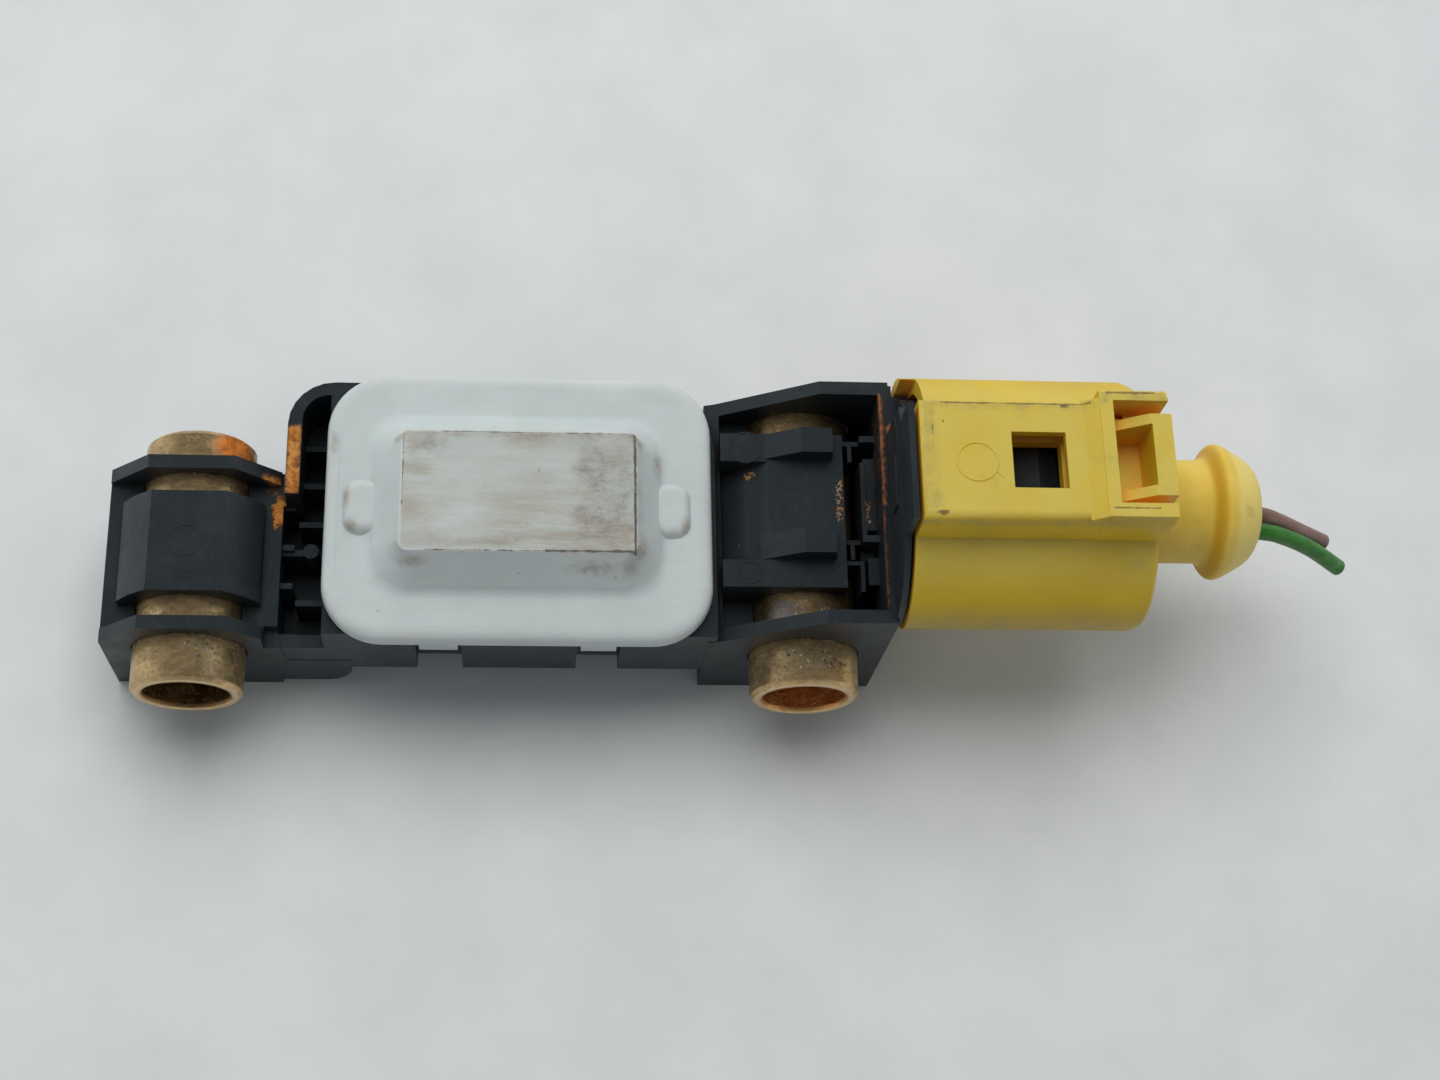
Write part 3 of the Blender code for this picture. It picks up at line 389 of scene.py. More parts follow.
def milky_cover():
    """Translucent polyester, slightly blue, with grey-brown handling dirt on its raised top."""
    paint = Paint("milky_cover")
    cloud = paint.ramp(paint.noise(7, 4, 0.6), 0.3, 0.75)
    base = paint.blend(cloud, (0.50, 0.55, 0.545), (0.55, 0.60, 0.595))
    rubbed = paint.ramp(paint.noise(1.6, 6, 0.7, (5, 1, 1)), 0.5, 0.7, 0, 0.35)
    base = paint.blend(rubbed, base, (0.46, 0.48, 0.44))
    high = (17.0, 19.0)
    top = paint.patch((17.0, 35.9), (-5.3, 5.1), high, 0.12, 1.0)
    smear = paint.ramp(paint.noise(2.0, 8, 0.75, (3.5, 0.7, 1)), 0.32, 0.66, 0.3, 0.95)
    uneven = paint.ramp(paint.noise(6.5, 3, 0.5, (1.4, 1, 1)), 0.36, 0.6, 0.45, 1.0)
    smear = paint.maths("MULTIPLY", smear, uneven)
    base = paint.blend(paint.maths("MULTIPLY", top, smear), base, (0.37, 0.345, 0.29))
    fine = paint.ramp(paint.noise(0.5, 9, 0.85, (2.0, 1, 1)), 0.34, 0.68)
    worn = paint.any_of(
        paint.patch((30.0, 36.6), (-5.8, 5.6), (16.4, 19), 1.6, 2.0, 2.2),
        paint.patch((17.2, 21.5), (2.2, 5.6), (16.4, 19), 1.4, 2.0, 2.0),
        paint.patch((17.5, 36.6), (3.9, 5.7), high, 0.9, 1.6, 1.4),
        paint.patch((18.0, 35.6), (-5.8, -2.8), high, 1.1, 2.0, 2.2),
    )
    worn = paint.maths("MULTIPLY", worn, paint.ramp(fine, 0, 1, 0.35, 1.0))
    base = paint.blend(worn, base, (0.20, 0.17, 0.135))
    edge = paint.any_of(
        paint.patch((28.5, 35.9), (-5.32, -5.05), high, 0.14, 0.8, 0.1),
        paint.patch((19.0, 28.5), (-5.28, -5.12), high, 0.16, 0.7, 0.1),
        paint.patch((35.55, 35.85), (-5.2, 5.0), high, 0.18, 0.8, 0.1),
        paint.patch((17.1, 17.25), (-1.5, 4.8), high, 0.14, 0.8, 0.1),
        paint.patch((20.0, 35.0), (4.9, 5.05), high, 0.15, 0.9, 0.1),
    )
    base = paint.blend(paint.maths("MULTIPLY", edge, 0.85), base, (0.06, 0.045, 0.035))
    stains = paint.any_of(
        paint.spot((12.9, -2.2, 15.0), (1.0, 1.0, 1.0), 0.5, 0.8, 0.9),
        paint.spot((12.5, 0.4, 15.0), (0.7, 1.6, 1.0), 0.5, 0.8, 0.9),
        paint.spot((40.0, -1.8, 15.0), (0.8, 1.2, 1.0), 0.6, 0.6, 0.9),
        paint.spot((37.6, 3.2, 15.2), (0.9, 1.5, 1.0), 0.6, 0.7, 0.9),
        paint.spot((36.3, -4.8, 17.0), (1.3, 1.9, 1.5), 0.5, 0.9, 0.9),
        paint.spot((35.4, -6.1, 16.5), (1.4, 1.1, 1.5), 0.6, 0.6, 0.9),
        paint.spot((36.0, 4.6, 17.2), (1.2, 1.2, 1.4), 0.5, 0.8, 0.9),
        paint.spot((17.6, -5.9, 17.0), (1.9, 0.9, 1.2), 0.6, 0.8, 0.9),
        paint.spot((17.2, 4.6, 17.2), (1.6, 0.9, 1.2), 0.6, 0.8, 0.9),
        paint.spot((32.4, -6.2, 16.6), (2.8, 0.7, 1.2), 0.6, 0.7, 0.9),
        paint.spot((11.4, 5.3, 14.4), (0.6, 1.3, 0.8), 0.6, 0.8, 0.9),
    )
    mottle = paint.ramp(paint.noise(0.6, 7, 0.8), 0.36, 0.64, 0.25, 0.8)
    base = paint.blend(paint.maths("MULTIPLY", stains, mottle), base, (0.30, 0.255, 0.18))
    flecks = paint.ramp(paint.noise(0.9, 2, 0.5), 0.735, 0.76)
    base = paint.blend(paint.maths("MULTIPLY", flecks, 0.5), base, (0.30, 0.24, 0.18))
    roughness = paint.ramp(top, 0, 1, 0.42, 0.58)
    paint.bump((paint.noise(0.25, 3, 0.6), 0.01), (worn, 0.02))
    return paint.set(
        Base_Color=base, Roughness=roughness, Subsurface_Weight=0.35, Subsurface_Scale=0.0015, IOR=1.45
    )


def yellow_plastic(name, dirt_spots=(), dirt_lines=()):
    """Plug polyester: clear yellow in the shade, dusty on top, grimy low down, with dirt and painted shade
    darkening its corners and painted orange shade in its hollows.
    """
    paint = Paint(name)
    cloud = paint.ramp(paint.noise(6, 5, 0.6), 0.3, 0.75)
    base = paint.blend(cloud, (0.56, 0.37, 0.012), (0.64, 0.43, 0.018))
    dust = paint.ramp(paint.facing_up(), 0.55, 0.97, 0, 0.85)
    dust = paint.maths("MULTIPLY", dust, paint.ramp(paint.noise(4, 6, 0.7), 0.25, 0.6, 0.6, 1.0))
    base = paint.blend(dust, base, (0.585, 0.475, 0.11))
    rub = paint.ramp(paint.noise(2.4, 7, 0.72, (2, 1, 1)), 0.52, 0.75, 0, 0.5)
    base = paint.blend(rub, base, (0.40, 0.325, 0.10))
    grey = paint.maths("MULTIPLY", low_grime(paint), 0.65)
    base = paint.blend(grey, base, (0.27, 0.22, 0.10))
    # Packed dirt and painted shade: small hollows and corners are darkened through ambient occlusion,
    # broken up by noise.
    packed_dirt_and_shade = paint.ramp(paint.hollow(0.5), 0.34, 0.6, 0, 0.55)
    packed_dirt_and_shade = paint.maths("MULTIPLY", packed_dirt_and_shade, paint.ramp(paint.noise(0.6, 5, 0.7), 0.4, 0.6))
    base = paint.blend(packed_dirt_and_shade, base, (0.19, 0.12, 0.03))
    rim = paint.any_of(
        paint.patch((57, 59.0), (-6, 5), (26.2, 27.3), 0.8, 1.5, 0.8),
        paint.patch((57, 71.5), (3.4, 5.6), (26.0, 28), 0.7, 1.2, 0.8),
        paint.patch((71.5, 77.3), (3.9, 5.4), (26.9, 28), 0.8, 1.0, 0.6),
        paint.patch((57, 77.3), (-6, -5.1), (25.0, 27.8), 0.7, 1.2, 0.6),
    )
    rim = paint.maths("MULTIPLY", rim, paint.ramp(paint.noise(1.0, 7, 0.75), 0.36, 0.62, 0.1, 0.6))
    base = paint.blend(rim, base, (0.34, 0.275, 0.09))
    # Painted shade: hollows found by ambient occlusion are coloured a deeper orange, as the yellow plastic
    # looks in shade.
    warm = paint.ramp(paint.hollow(3.0), 0.25, 0.8, 0, 0.9)
    base = paint.blend(warm, base, (0.92, 0.47, 0.06))
    if dirt_spots:
        dirt = paint.any_of(
            *[paint.spot(place, size, 0.7, 0.45) for place, size in dirt_spots],
            *[paint.patch(*box, ragged=0.16, grain=0.6, fade=0.1) for box in dirt_lines],
        )
        base = paint.blend(paint.maths("MULTIPLY", dirt, 0.75), base, (0.10, 0.07, 0.035))
    roughness = paint.ramp(paint.noise(3, 5, 0.6), 0.3, 0.7, 0.40, 0.56)
    paint.bump((paint.noise(0.2, 3, 0.6), 0.012))
    return paint.set(
        Base_Color=base, Roughness=roughness, Subsurface_Weight=0.15, Subsurface_Scale=0.0008, IOR=1.38
    )


SHELL_SPOTS = [
    ((68.9, 4.1, 26.7), (0.42, 0.22, 0.4)),
    ((58.9, -5.0, 26.4), (0.7, 0.25, 0.5)),
    ((70.3, -10.2, 14.6), (0.35, 0.3, 0.6)),
    ((70.6, -7.9, 19.0), (0.25, 0.25, 0.4)),
    ((59.2, 2.6, 26.7), (0.12, 0.14, 0.3)),
]
SHELL_LINES = [
    ((59.0, 71.0), (4.1, 4.35), (26, 27.2)),
    ((58.25, 58.36), (-0.6, 3.4), (26, 27.2)),
    ((72.0, 76.0), (4.75, 5.1), (27, 28)),
    ((71.8, 75.6), (-4.95, -4.72), (27, 28)),
]


def low_grime(paint):
    """A band of smeared grey grime along the plug's front, low down."""
    band = paint.patch((55, 79), (-14, -7.6), (4, 19.5), 1.4, 3.0, 3.2)
    smeared = paint.ramp(paint.noise(1.8, 8, 0.75, (2, 1, 1)), 0.3, 0.7, 0.35, 1)
    return paint.maths("MULTIPLY", band, smeared)


def boot_rubber():
    """Soft yellow rubber, duller on its skin, with scuffs, a paler cone, a warm band of painted shade on
    the back of its lip and painted orange shade in its hollows.
    """
    paint = Paint("boot_rubber")
    cloud = paint.ramp(paint.noise(3, 5, 0.65), 0.3, 0.75)
    base = paint.blend(cloud, (0.66, 0.47, 0.07), (0.74, 0.54, 0.11))
    scuff = paint.ramp(paint.noise(1.1, 7, 0.72), 0.58, 0.78, 0, 0.5)
    base = paint.blend(scuff, base, (0.42, 0.31, 0.08))
    cone = paint.patch((84.2, 88), (-7, 7), (8, 22), 0.1, 1.5, 0.6)
    base = paint.blend(paint.maths("MULTIPLY", cone, 0.6), base, (0.78, 0.64, 0.21))
    # Painted shade: the back face of the lip, which faces away from the light, is coloured a darker orange.
    lip_back_shade = paint.patch((82.5, 83.75), (-7, 7), (8, 22), 0.12, 1.5, 0.5)
    base = paint.blend(paint.maths("MULTIPLY", lip_back_shade, 0.75), base, (0.55, 0.31, 0.012))
    nick = paint.patch((84.9, 86.1), (-2.3, -1.1), (17, 21), 0.4, 0.6, 0.4)
    base = paint.blend(paint.maths("MULTIPLY", nick, 0.35), base, (0.42, 0.29, 0.05))
    # Painted shade: hollows found by ambient occlusion are coloured a deeper orange.
    warm = paint.ramp(paint.hollow(1.5), 0.2, 0.7, 0, 0.6)
    base = paint.blend(warm, base, (0.62, 0.34, 0.03))
    paint.bump((paint.noise(0.35, 4, 0.6), 0.014))
    return paint.set(
        Base_Color=base, Roughness=0.52, Subsurface_Weight=0.15, Subsurface_Scale=0.001, IOR=1.38
    )


def wire_insulation(name, colour, rubbed):
    paint = Paint(name)
    streak = paint.ramp(paint.noise(0.8, 6, 0.7, (4, 1, 1)), 0.4, 0.75)
    base = paint.blend(streak, colour, rubbed)
    paint.bump((paint.noise(0.3, 4, 0.6), 0.01))
    return paint.set(Base_Color=base, Roughness=0.42)


def plain_metal(name, dark, light, roughness):
    paint = Paint(name)
    grain = paint.noise(0.5, 5, 0.65, (4, 1, 1))
    base = paint.blend(paint.ramp(grain, 0.3, 0.7), dark, light)
    shine = paint.ramp(paint.noise(0.8, 4, 0.6), 0.3, 0.7, roughness - 0.07, roughness + 0.07)
    paint.bump((grain, 0.004))
    return paint.set(Base_Color=base, Roughness=shine, Metallic=1.0)


def plain_solid(name, dark, light, roughness, size=1.0):
    paint = Paint(name)
    grain = paint.noise(size, 6, 0.65)
    base = paint.blend(paint.ramp(grain, 0.3, 0.7), dark, light)
    paint.bump((paint.noise(0.15, 3, 0.6), 0.006))
    return paint.set(Base_Color=base, Roughness=roughness)


def board_laminate():
    """Green solder resist over a glass weave, with faint copper tracks under it."""
    paint = Paint("board_laminate")
    weave = paint.noise(0.4, 2, 0.5, (3, 1, 1))
    track = paint.ramp(paint.noise(2.2, 1, 0.4, (3, 0.7, 1)), 0.5, 0.52)
    base = paint.blend(track, (0.012, 0.085, 0.03), (0.025, 0.15, 0.05))
    paint.bump((weave, 0.005), (track, 0.03))
    return paint.set(Base_Color=base, Roughness=0.3)


# ---------------------------------------------------------------- meshes


def finished(bm, name):
    """The object of a mesh drawn in millimetres, moved to its place in the frame."""
    bmesh.ops.recalc_face_normals(bm, faces=bm.faces)
    bmesh.ops.scale(bm, verts=bm.verts, vec=(MM, MM, MM))
    bmesh.ops.translate(bm, verts=bm.verts, vec=BASE)
    mesh = bpy.data.meshes.new(name)
    bm.to_mesh(mesh)
    bm.free()
    obj = bpy.data.objects.new(name, mesh)
    bpy.context.scene.collection.objects.link(obj)
    return obj


def loft(name, rings, closed=False):
    """A solid skinned over rings of equal count. Its ends are capped, or meet each other if closed."""
    bm = bmesh.new()
    loops = [[bm.verts.new(point) for point in ring] for ring in rings]
    count = len(loops[0])
    pairs = zip(loops, loops[1:] + loops[:1]) if closed else zip(loops, loops[1:])
    for lower, upper in pairs:
        for i in range(count):
            j = (i + 1) % count
            bm.faces.new((lower[i], lower[j], upper[j], upper[i]))
    if not closed:
        bm.faces.new(loops[0])
        bm.faces.new(loops[-1])
    return finished(bm, name)


def placed(axis, along, a, b):
    """The point that is this far along the axis, where a and b are its other two coordinates in order."""
    if axis == "X":
        return (along, a, b)
    return (a, along, b) if axis == "Y" else (a, b, along)


def prism(name, outline, axis, start, end):
    return loft(name, [[placed(axis, along, a, b) for a, b in outline] for along in (start, end)])


def rectangle(left, right, front, back):
    return [(left, front), (right, front), (right, back), (left, back)]


def block(name, x, y, z):
    return prism(name, rectangle(*x, *y), "Z", *z)


def rounded_rectangle(left, right, front, back, radius, steps=10):
    """Anticlockwise points of a rectangle with arcs for corners, from the right back one round."""
    centres = (
        (right - radius, back - radius),
        (left + radius, back - radius),
        (left + radius, front + radius),
        (right - radius, front + radius),
    )
    points = []
    for corner, (x, y) in enumerate(centres):
        for step in range(steps + 1):
            angle = math.pi / 2 * (corner + step / steps)
            points.append((x + radius * math.cos(angle), y + radius * math.sin(angle)))
    return points


def turned(name, axis, centre, profile, sides=96, closed=False):
    """A solid turned about a line along the axis, from (place, radius) pairs."""
    rings = []
    for along, radius in profile:
        ring = []
        for side in range(sides):
            angle = 2 * math.pi * side / sides
            a = centre[0] + radius * math.cos(angle)
            b = centre[1] + radius * math.sin(angle)
            ring.append(placed(axis, along, a, b))
        rings.append(ring)
    return loft(name, rings, closed)


def sweep(name, route, radius, sides=20):
    """A round bar along a route of points."""
    points = [Vector(point) for point in route]
    side = Vector((0, 1, 0))
    rings = []
    for i, point in enumerate(points):
        ahead = points[min(i + 1, len(points) - 1)] - points[max(i - 1, 0)]
        ahead.normalize()
        side = (side - ahead * side.dot(ahead)).normalized()
        up = ahead.cross(side)
        ring = []
        for step in range(sides):
            angle = 2 * math.pi * step / sides
            ring.append(point + radius * (side * math.cos(angle) + up * math.sin(angle)))
        rings.append(ring)
    return loft(name, rings)


def curve_through(points, per_span=8):
    """A smooth Catmull-Rom route through the given points."""
    controls = [Vector(p) for p in points]
    padded = [2 * controls[0] - controls[1], *controls, 2 * controls[-1] - controls[-2]]
    route = []
    for p0, p1, p2, p3 in zip(padded, padded[1:], padded[2:], padded[3:]):
        for step in range(per_span):
            t = step / per_span
            along = 2 * p1 + (p2 - p0) * t
            bend = (2 * p0 - 5 * p1 + 4 * p2 - p3) * t * t
            twist = (3 * p1 - p0 - 3 * p2 + p3) * t * t * t
            route.append((along + bend + twist) / 2)
    route.append(controls[-1])
    return route


def settle(obj):
    """Applies every modifier of an object to its mesh."""
    graph = bpy.context.evaluated_depsgraph_get()
    mesh = bpy.data.meshes.new_from_object(obj.evaluated_get(graph))
    obj.modifiers.clear()
    obj.data = mesh


def combine(target, tools, operation):
    for tool in tools:
        modifier = target.modifiers.new(operation, "BOOLEAN")
        modifier.operation = operation
        modifier.solver = "EXACT"
        modifier.object = tool
        settle(target)
        bpy.data.objects.remove(tool)


def join(target, *tools):
    combine(target, tools, "UNION")


def cut(target, *tools):
    combine(target, tools, "DIFFERENCE")


def copy_of(node):
    """A new object with a CAD node's mesh, its split corners welded and its flat faces made whole."""
    copy = bpy.data.objects.new(f"{node}_body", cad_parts[node].data.copy())
    bpy.context.scene.collection.objects.link(copy)
    bm = bmesh.new()
    bm.from_mesh(copy.data)
    bmesh.ops.remove_doubles(bm, verts=bm.verts, dist=0.002 * MM)
    flatten(bm)
    bm.to_mesh(copy.data)
    bm.free()
    copy.data.materials.clear()
    return copy


def flatten(bm):
    """Joins faces that lie in one plane, so that only real edges are left."""
    bmesh.ops.dissolve_degenerate(bm, edges=bm.edges, dist=0.004 * MM)
    bmesh.ops.dissolve_limit(bm, angle_limit=math.radians(1.5), verts=bm.verts, edges=bm.edges)


def rounded(obj, radius, segments=3, sharper_than=28):
    """Rounds every edge sharper than an angle, as a moulding's are."""
    bm = bmesh.new()
    bm.from_mesh(obj.data)
    flatten(bm)
    bm.to_mesh(obj.data)
    bm.free()
    modifier = obj.modifiers.new("round", "BEVEL")
    modifier.width = radius * MM
    modifier.segments = segments
    modifier.limit_method = "ANGLE"
    modifier.angle_limit = math.radians(sharper_than)
    modifier.miter_outer = "MITER_ARC"
    modifier.harden_normals = False
    modifier.use_clamp_overlap = True
    settle(obj)


def dress(obj, finish, body, slot, *nodes, smooth_below=40):
    """Gives a piece its material, its body and the CAD nodes that it stands for. Its slot is not used."""
    obj.data.materials.clear()
    obj.data.materials.append(finish)
    obj.data.shade_smooth()
    obj.data.set_sharp_from_angle(angle=math.radians(smooth_below))
    modifier = obj.modifiers.new("even", "WEIGHTED_NORMAL")
    modifier.keep_sharp = True
    settle(obj)
    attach(obj, body)
    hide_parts(*nodes)
    return obj


# ---------------------------------------------------------------- sensor

EAR_TOP = 13.75
SADDLE_TOP = 13.75
FRONT = -10.6


def raised_ring(name, centre, radius, top, height=0.035, width=0.13):
    """A thin round moulding mark that stands on a flat face."""
    profile = [
        (top - 0.2, radius + width / 2),
        (top + height * 0.6, radius + width / 2),
        (top + height, radius + width / 4),
        (top + height, radius - width / 4),
        (top + height * 0.6, radius - width / 2),
        (top - 0.2, radius - width / 2),
    ]
    return turned(name, "Z", centre, profile, 48, closed=True)


def make_housing(finish):
    body = copy_of("housing")
    body.name = "housing_body"
    rounded(body, 0.2)
    join(
        body,
        raised_ring("ear_mark", (-0.1, -3.1), 1.3, EAR_TOP),
        raised_ring("ear_dot_left", (-0.5, -5.95), 0.3, EAR_TOP, 0.035, 0.1),
        raised_ring("ear_dot_right", (0.25, -5.95), 0.3, EAR_TOP, 0.035, 0.1),
        raised_ring("back_mark", (45.1, 5.75), 1.35, SADDLE_TOP),
        raised_ring("front_mark", (45.2, -5.3), 0.95, SADDLE_TOP),
    )
    return dress(body, finish, "sensor", "black_moulding", "housing")


BUSH_RADIUS = 4.5
BORE_RADIUS = 3.4


def make_bush(node, finish):
    """A turned sleeve with a broken outer edge and a faced ring at each end."""
    axis_x = sum(span(node, 0)) / 2
    axis_z = sum(span(node, 2)) / 2
    front, back = span(node, 1)
    profile = []
    for edge, inward in ((front, 1), (back, -1)):
        ends = [
            (edge + inward * 0.45, BORE_RADIUS),
            (edge + inward * 0.12, BORE_RADIUS + 0.1),
            (edge + inward * 0.05, BORE_RADIUS + 0.2),
            (edge, BORE_RADIUS + 0.26),
            (edge, BUSH_RADIUS - 0.42),
            (edge + inward * 0.05, BUSH_RADIUS - 0.34),
            (edge + inward * 0.32, BUSH_RADIUS - 0.05),
            (edge + inward * 0.45, BUSH_RADIUS),
        ]
        profile += ends if inward == 1 else ends[::-1]
    obj = turned(f"{node}_body", "Y", (axis_x, axis_z), profile, 128, closed=True)
    return dress(obj, finish, "sensor", "aged_bronze", node)


def cover_ring(low, high, share, grow, radius, z):
    """An outline between two (left, right, front, back) boxes, grown by a margin, at one height."""
    box = [a + (b - a) * share for a, b in zip(low, high)]
    outline = rounded_rectangle(
        box[0] - grow, box[1] + grow, box[2] - grow, box[3] + grow, max(radius + grow, 0.4), 12
    )
    return [(x, y, z) for x, y in outline]


def make_cover(finish):
    """A flanged lid: a rolled rim, a hollow curve up to the raised middle, and two small side lobes."""
    (left, right), (front, back) = span("cover", 0), span("cover", 1)
    base, top = span("cover", 2)[1] - 4.8, span("cover", 2)[1]
    rim = top - 3.3
    edge = (left, right, front, back)
    hat = (13.95, 38.4, -7.9, 7.8)
    crown = (17.1, 35.8, -5.2, 5.0)
    rings = [
        cover_ring(edge, edge, 0, -0.12, 5.0, base),
        cover_ring(edge, edge, 0, -0.02, 5.0, base + 0.15),
        cover_ring(edge, edge, 0, 0.0, 5.0, base + 0.45),
    ]
    for degrees in range(0, 91, 15):
        angle = math.radians(degrees)
        inset = 0.06 + 1.1 * (1 - math.cos(angle))
        rings.append(cover_ring(edge, edge, 0, -inset, 5.0, rim - 0.75 + 0.75 * math.sin(angle)))
    for share in (0.35, 0.75):
        rings.append(cover_ring(edge, hat, share, 0, 4.2, rim + 0.02))
    for degrees in range(0, 61, 12):
        angle = math.radians(degrees)
        height = rim + 1.5 * (1 - math.cos(angle))
        rings.append(cover_ring(hat, crown, 0.42 * math.sin(angle), 0.25, 3.0, height))
    for share, grow, radius, height in (
        (0.66, 0.15, 2.3, rim + 1.75),
        (0.88, 0.1, 1.5, rim + 2.75),
        (0.97, 0.06, 0.8, top - 0.14),
        (0.99, 0.03, 0.5, top - 0.03),
        (1.0, -0.08, 0.4, top),
    ):
        rings.append(cover_ring(hat, crown, share, grow, radius, height))
    cover = loft("cover_body", rings)
    lobes = []
    for name, x in (("left", (12.35, 15.6)), ("right", (37.2, 40.3))):
        lobe = (*x, -2.7, 1.9)
        levels = [(0.12, rim - 0.3), (0.12, rim)]
        for degrees in range(15, 91, 15):
            angle = math.radians(degrees)
            levels.append((-0.85 * (1 - math.cos(angle)), rim + 0.72 * math.sin(angle)))
        lobes.append(loft(f"lobe_{name}", [cover_ring(lobe, lobe, 0, g, 1.3, z) for g, z in levels]))
    dome = [
        cover_ring(hat, hat, 0, -1.2, 2.6, base - 1),
        cover_ring(hat, hat, 0, -1.2, 2.6, rim - 0.8),
        cover_ring(hat, crown, 0.7, -1.2, 2.0, top - 1.2),
    ]
    join(cover, *lobes)
    cut(cover, loft("dome", dome))
    tabs = []
    for number, (start, end) in enumerate(((18.5, 21.6), (31.6, 34.5))):
        x, z = (start, end), (8.9, base + 0.4)
        tabs.append(block(f"front_tab_{number}", x, (FRONT + 0.05, FRONT + 0.95), z))
        tabs.append(block(f"back_tab_{number}", x, (10.9, 11.5), z))
    join(cover, *tabs)
    return dress(cover, finish, "sensor", "milky_white", "cover")


# ---------------------------------------------------------------- plug

WIRE_Z = 15.05
PIN_Y = 2.4
WIRES = {
    "green": [
        (69.7, -PIN_Y, WIRE_Z),
        (72.6, -PIN_Y, WIRE_Z),
        (77.5, -1.7, WIRE_Z - 0.1),
        (83.0, -1.4, WIRE_Z - 0.1),
        (88.0, -1.6, WIRE_Z - 0.25),
        (90.1, -1.85, 14.3),
        (92.7, -2.35, 13.0),
        (95.8, -3.15, 10.7),
    ],
    "brown": [
        (69.7, PIN_Y, WIRE_Z),
        (72.6, PIN_Y, WIRE_Z),
        (77.5, 1.3, WIRE_Z + 0.2),
        (83.0, 0.55, WIRE_Z + 0.1),
        (88.0, 0.1, 14.4),
        (89.75, -0.25, 13.95),
        (91.8, -0.7, 12.95),
        (94.5, -1.1, 11.35),
    ],
}


def edge_cutter(name, axis, corner, inward, radius, start, end, steps=6):
    """A tool that rounds one straight outer edge. Its corner is at that place across the axis."""
    a, b = corner
    toward_a, toward_b = inward
    outside = 0.6
    outline = [
        (a - toward_a * outside, b - toward_b * outside),
        (a + toward_a * radius, b - toward_b * outside),
    ]
    for step in range(steps + 1):
        turn = math.pi / 2 * step / steps
        outline.append(
            (a + toward_a * radius * (1 - math.sin(turn)), b + toward_b * radius * (1 - math.cos(turn)))
        )
    outline.append((a - toward_a * outside, b + toward_b * radius))
    return prism(name, outline, axis, start, end)


def make_shell(finish):
    """The shell with the lock block's long edges rubbed round."""
    body = copy_of("plug_shell")
    rounded(body, 0.36, segments=4)
    left = span("plug_shell", 0)[0]
    cut(
        body,
        edge_cutter("front_edge", "X", (-5.55, 26.7), (1, -1), 0.8, left - 1, 70.3),
        edge_cutter("back_edge", "X", (4.5, 26.7), (-1, -1), 0.45, left - 1, 70.3),
        edge_cutter("end_edge", "Y", (left, 26.7), (1, -1), 0.45, -6.5, 5.2),
    )
    join(body, raised_ring("shell_mark", (61.7, -0.75), 1.6, 26.7, 0.05, 0.2))
    return dress(body, finish, "plug", "plug_yellow", "plug_shell")


def make_lever(finish):
    body = copy_of("latch_lever")
    rounded(body, 0.22)
    return dress(body, finish, "lever", "plug_yellow", "latch_lever")


def make_boot(finish):
    """Neck, flared lip, and a cone that turns over into a blunt end that the wires leave."""
    left, right = span("wire_boot", 0)
    neck, rim = 4.3, 5.66
    profile = [
        (left, 4.0),
        (left + 0.12, 4.2),
        (left + 0.4, neck),
        (82.3, neck),
        (82.6, neck + 0.1),
        (82.85, neck + 0.38),
        (83.05, rim - 0.62),
        (83.25, rim - 0.3),
        (83.5, rim - 0.08),
        (83.75, rim - 0.01),
        (84.0, rim - 0.04),
        (84.3, rim - 0.17),
        (84.7, rim - 0.38),
        (85.4, rim - 0.77),
        (86.0, rim - 1.13),
        (86.45, rim - 1.5),
        (86.75, rim - 1.87),
        (87.0, rim - 2.33),
        (87.16, rim - 2.8),
        (right - 0.12, rim - 3.3),
        (right - 0.04, rim - 3.75),
        (right, 1.2),
        (right, 0.8),
    ]
    boot = turned("boot_body", "X", (0, WIRE_Z), profile)
    ways = []
    for name, points in WIRES.items():
        inside = [(left - 1.2, *points[1][1:]), *points[1:5], (89.5, *points[5][1:])]
        ways.append(sweep(f"{name}_way", curve_through(inside), 0.82))
    cut(boot, *ways)
    return dress(boot, finish, "plug", "boot_yellow", "wire_boot")


def make_wire(name, insulation, copper):
    """Insulation over a core of strands, cut off square."""
    points = WIRES[name]
    route = curve_through(points)
    start = Vector(points[0])
    ahead = (route[-1] - route[-2]).normalized()
    jacket = sweep(f"{name}_insulation", route, 0.7)
    through = [start - Vector((0.5, 0, 0)), *route[1:-1], route[-1] + ahead]
    cut(jacket, sweep("core_way", through, 0.5))
    bare = [start - Vector((2.6, 0, 0)), *route[1:-1], route[-1] + ahead * 0.22]
    core = sweep(f"{name}_strands", bare, 0.42)
    dress(jacket, insulation, "plug", f"{name}_insulation", f"{name}_wire")
    dress(core, copper, "plug", "copper", f"{name}_core")


# ---------------------------------------------------------------- the scene


FLOOR_HALF_WIDTH = 1.5


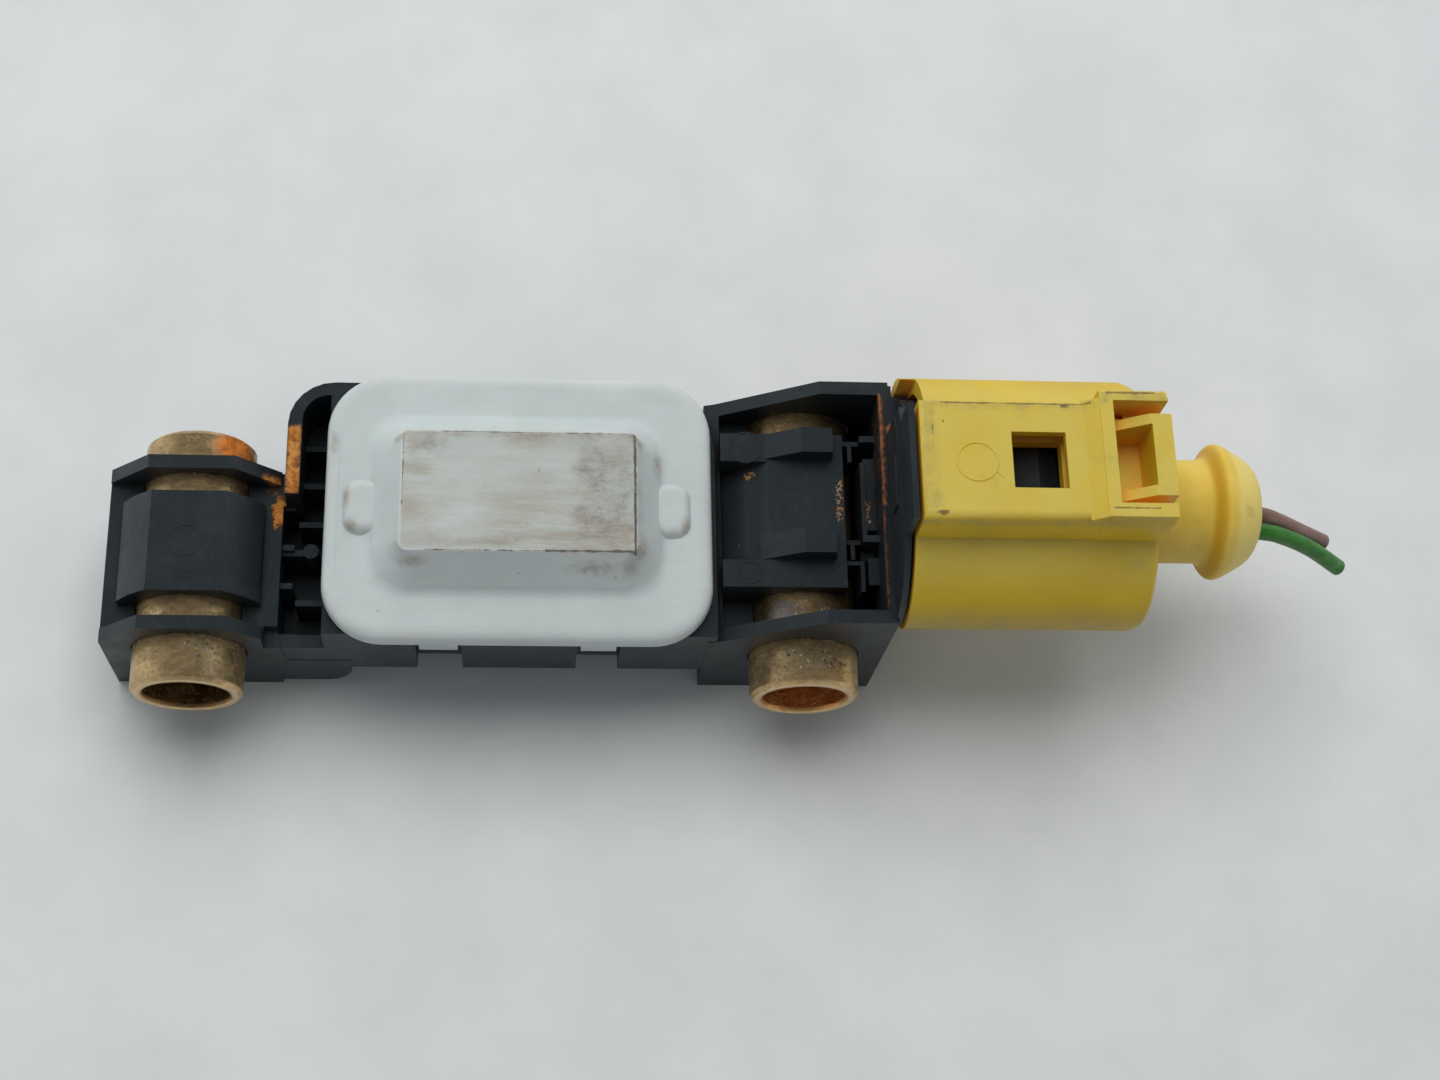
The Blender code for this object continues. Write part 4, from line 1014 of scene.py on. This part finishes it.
def make_floor():
    """A plain pale floor, in metres, that belongs to the stage and not to the object."""
    bm = bmesh.new()
    bmesh.ops.create_grid(bm, x_segments=1, y_segments=1, size=FLOOR_HALF_WIDTH)
    mesh = bpy.data.meshes.new("floor")
    bm.to_mesh(mesh)
    bm.free()
    floor = bpy.data.objects.new("floor", mesh)
    bpy.context.scene.collection.objects.link(floor)
    paint = Paint("pale_floor")
    soft = paint.ramp(paint.noise(14, 6, 0.6), 0.3, 0.7)
    floor.data.materials.append(
        paint.set(Base_Color=paint.blend(soft, (0.64, 0.665, 0.67), (0.70, 0.72, 0.725)), Roughness=0.8)
    )


def finish_cad_nodes():
    """Gives the CAD nodes inside the sensor and the plug their own materials."""
    epoxy = plain_solid("chip_epoxy", (0.012, 0.012, 0.013), (0.03, 0.03, 0.032), 0.45)
    ceramic = plain_solid("capacitor_ceramic", (0.34, 0.23, 0.13), (0.46, 0.33, 0.21), 0.4)
    silicone = plain_solid("silicone", (0.2, 0.2, 0.2), (0.3, 0.3, 0.29), 0.6)
    tin = plain_metal("tinned_brass", (0.5, 0.48, 0.42), (0.68, 0.65, 0.58), 0.3)
    can = plain_metal("capacitor_can", (0.6, 0.6, 0.6), (0.75, 0.75, 0.75), 0.28)
    finishes = {
        "circuit_board": board_laminate(),
        "acceleration_chip": epoxy,
        "interface_chip": epoxy,
        "reverse_diode": epoxy,
        "input_capacitor": ceramic,
        "output_capacitor": ceramic,
        "storage_capacitor": can,
        "cover_seal": silicone,
        "carrier_seal": silicone,
        "front_pin": tin,
        "rear_pin": tin,
        "front_terminal": tin,
        "rear_terminal": tin,
        "terminal_carrier": yellow_plastic("carrier_plastic"),
    }
    for node, finish in finishes.items():
        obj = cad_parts[node]
        obj.data.materials.clear()
        obj.data.materials.append(finish)


def build():
    bpy.context.scene.view_settings.view_transform = "Standard"
    make_camera()
    make_light()
    make_floor()
    make_housing(black_moulding())
    make_bush("left_bush", left_bronze())
    make_bush("right_bush", right_bronze())
    make_cover(milky_cover())
    make_shell(yellow_plastic("shell_plastic", SHELL_SPOTS, SHELL_LINES))
    make_lever(yellow_plastic("lever_plastic"))
    make_boot(boot_rubber())
    copper = plain_metal("copper_strands", (0.36, 0.16, 0.09), (0.55, 0.28, 0.17), 0.4)
    make_wire("green", wire_insulation("green_pvc", (0.022, 0.135, 0.012), (0.07, 0.23, 0.04)), copper)
    make_wire("brown", wire_insulation("brown_pvc", (0.18, 0.105, 0.085), (0.26, 0.17, 0.14)), copper)
    finish_cad_nodes()


build()
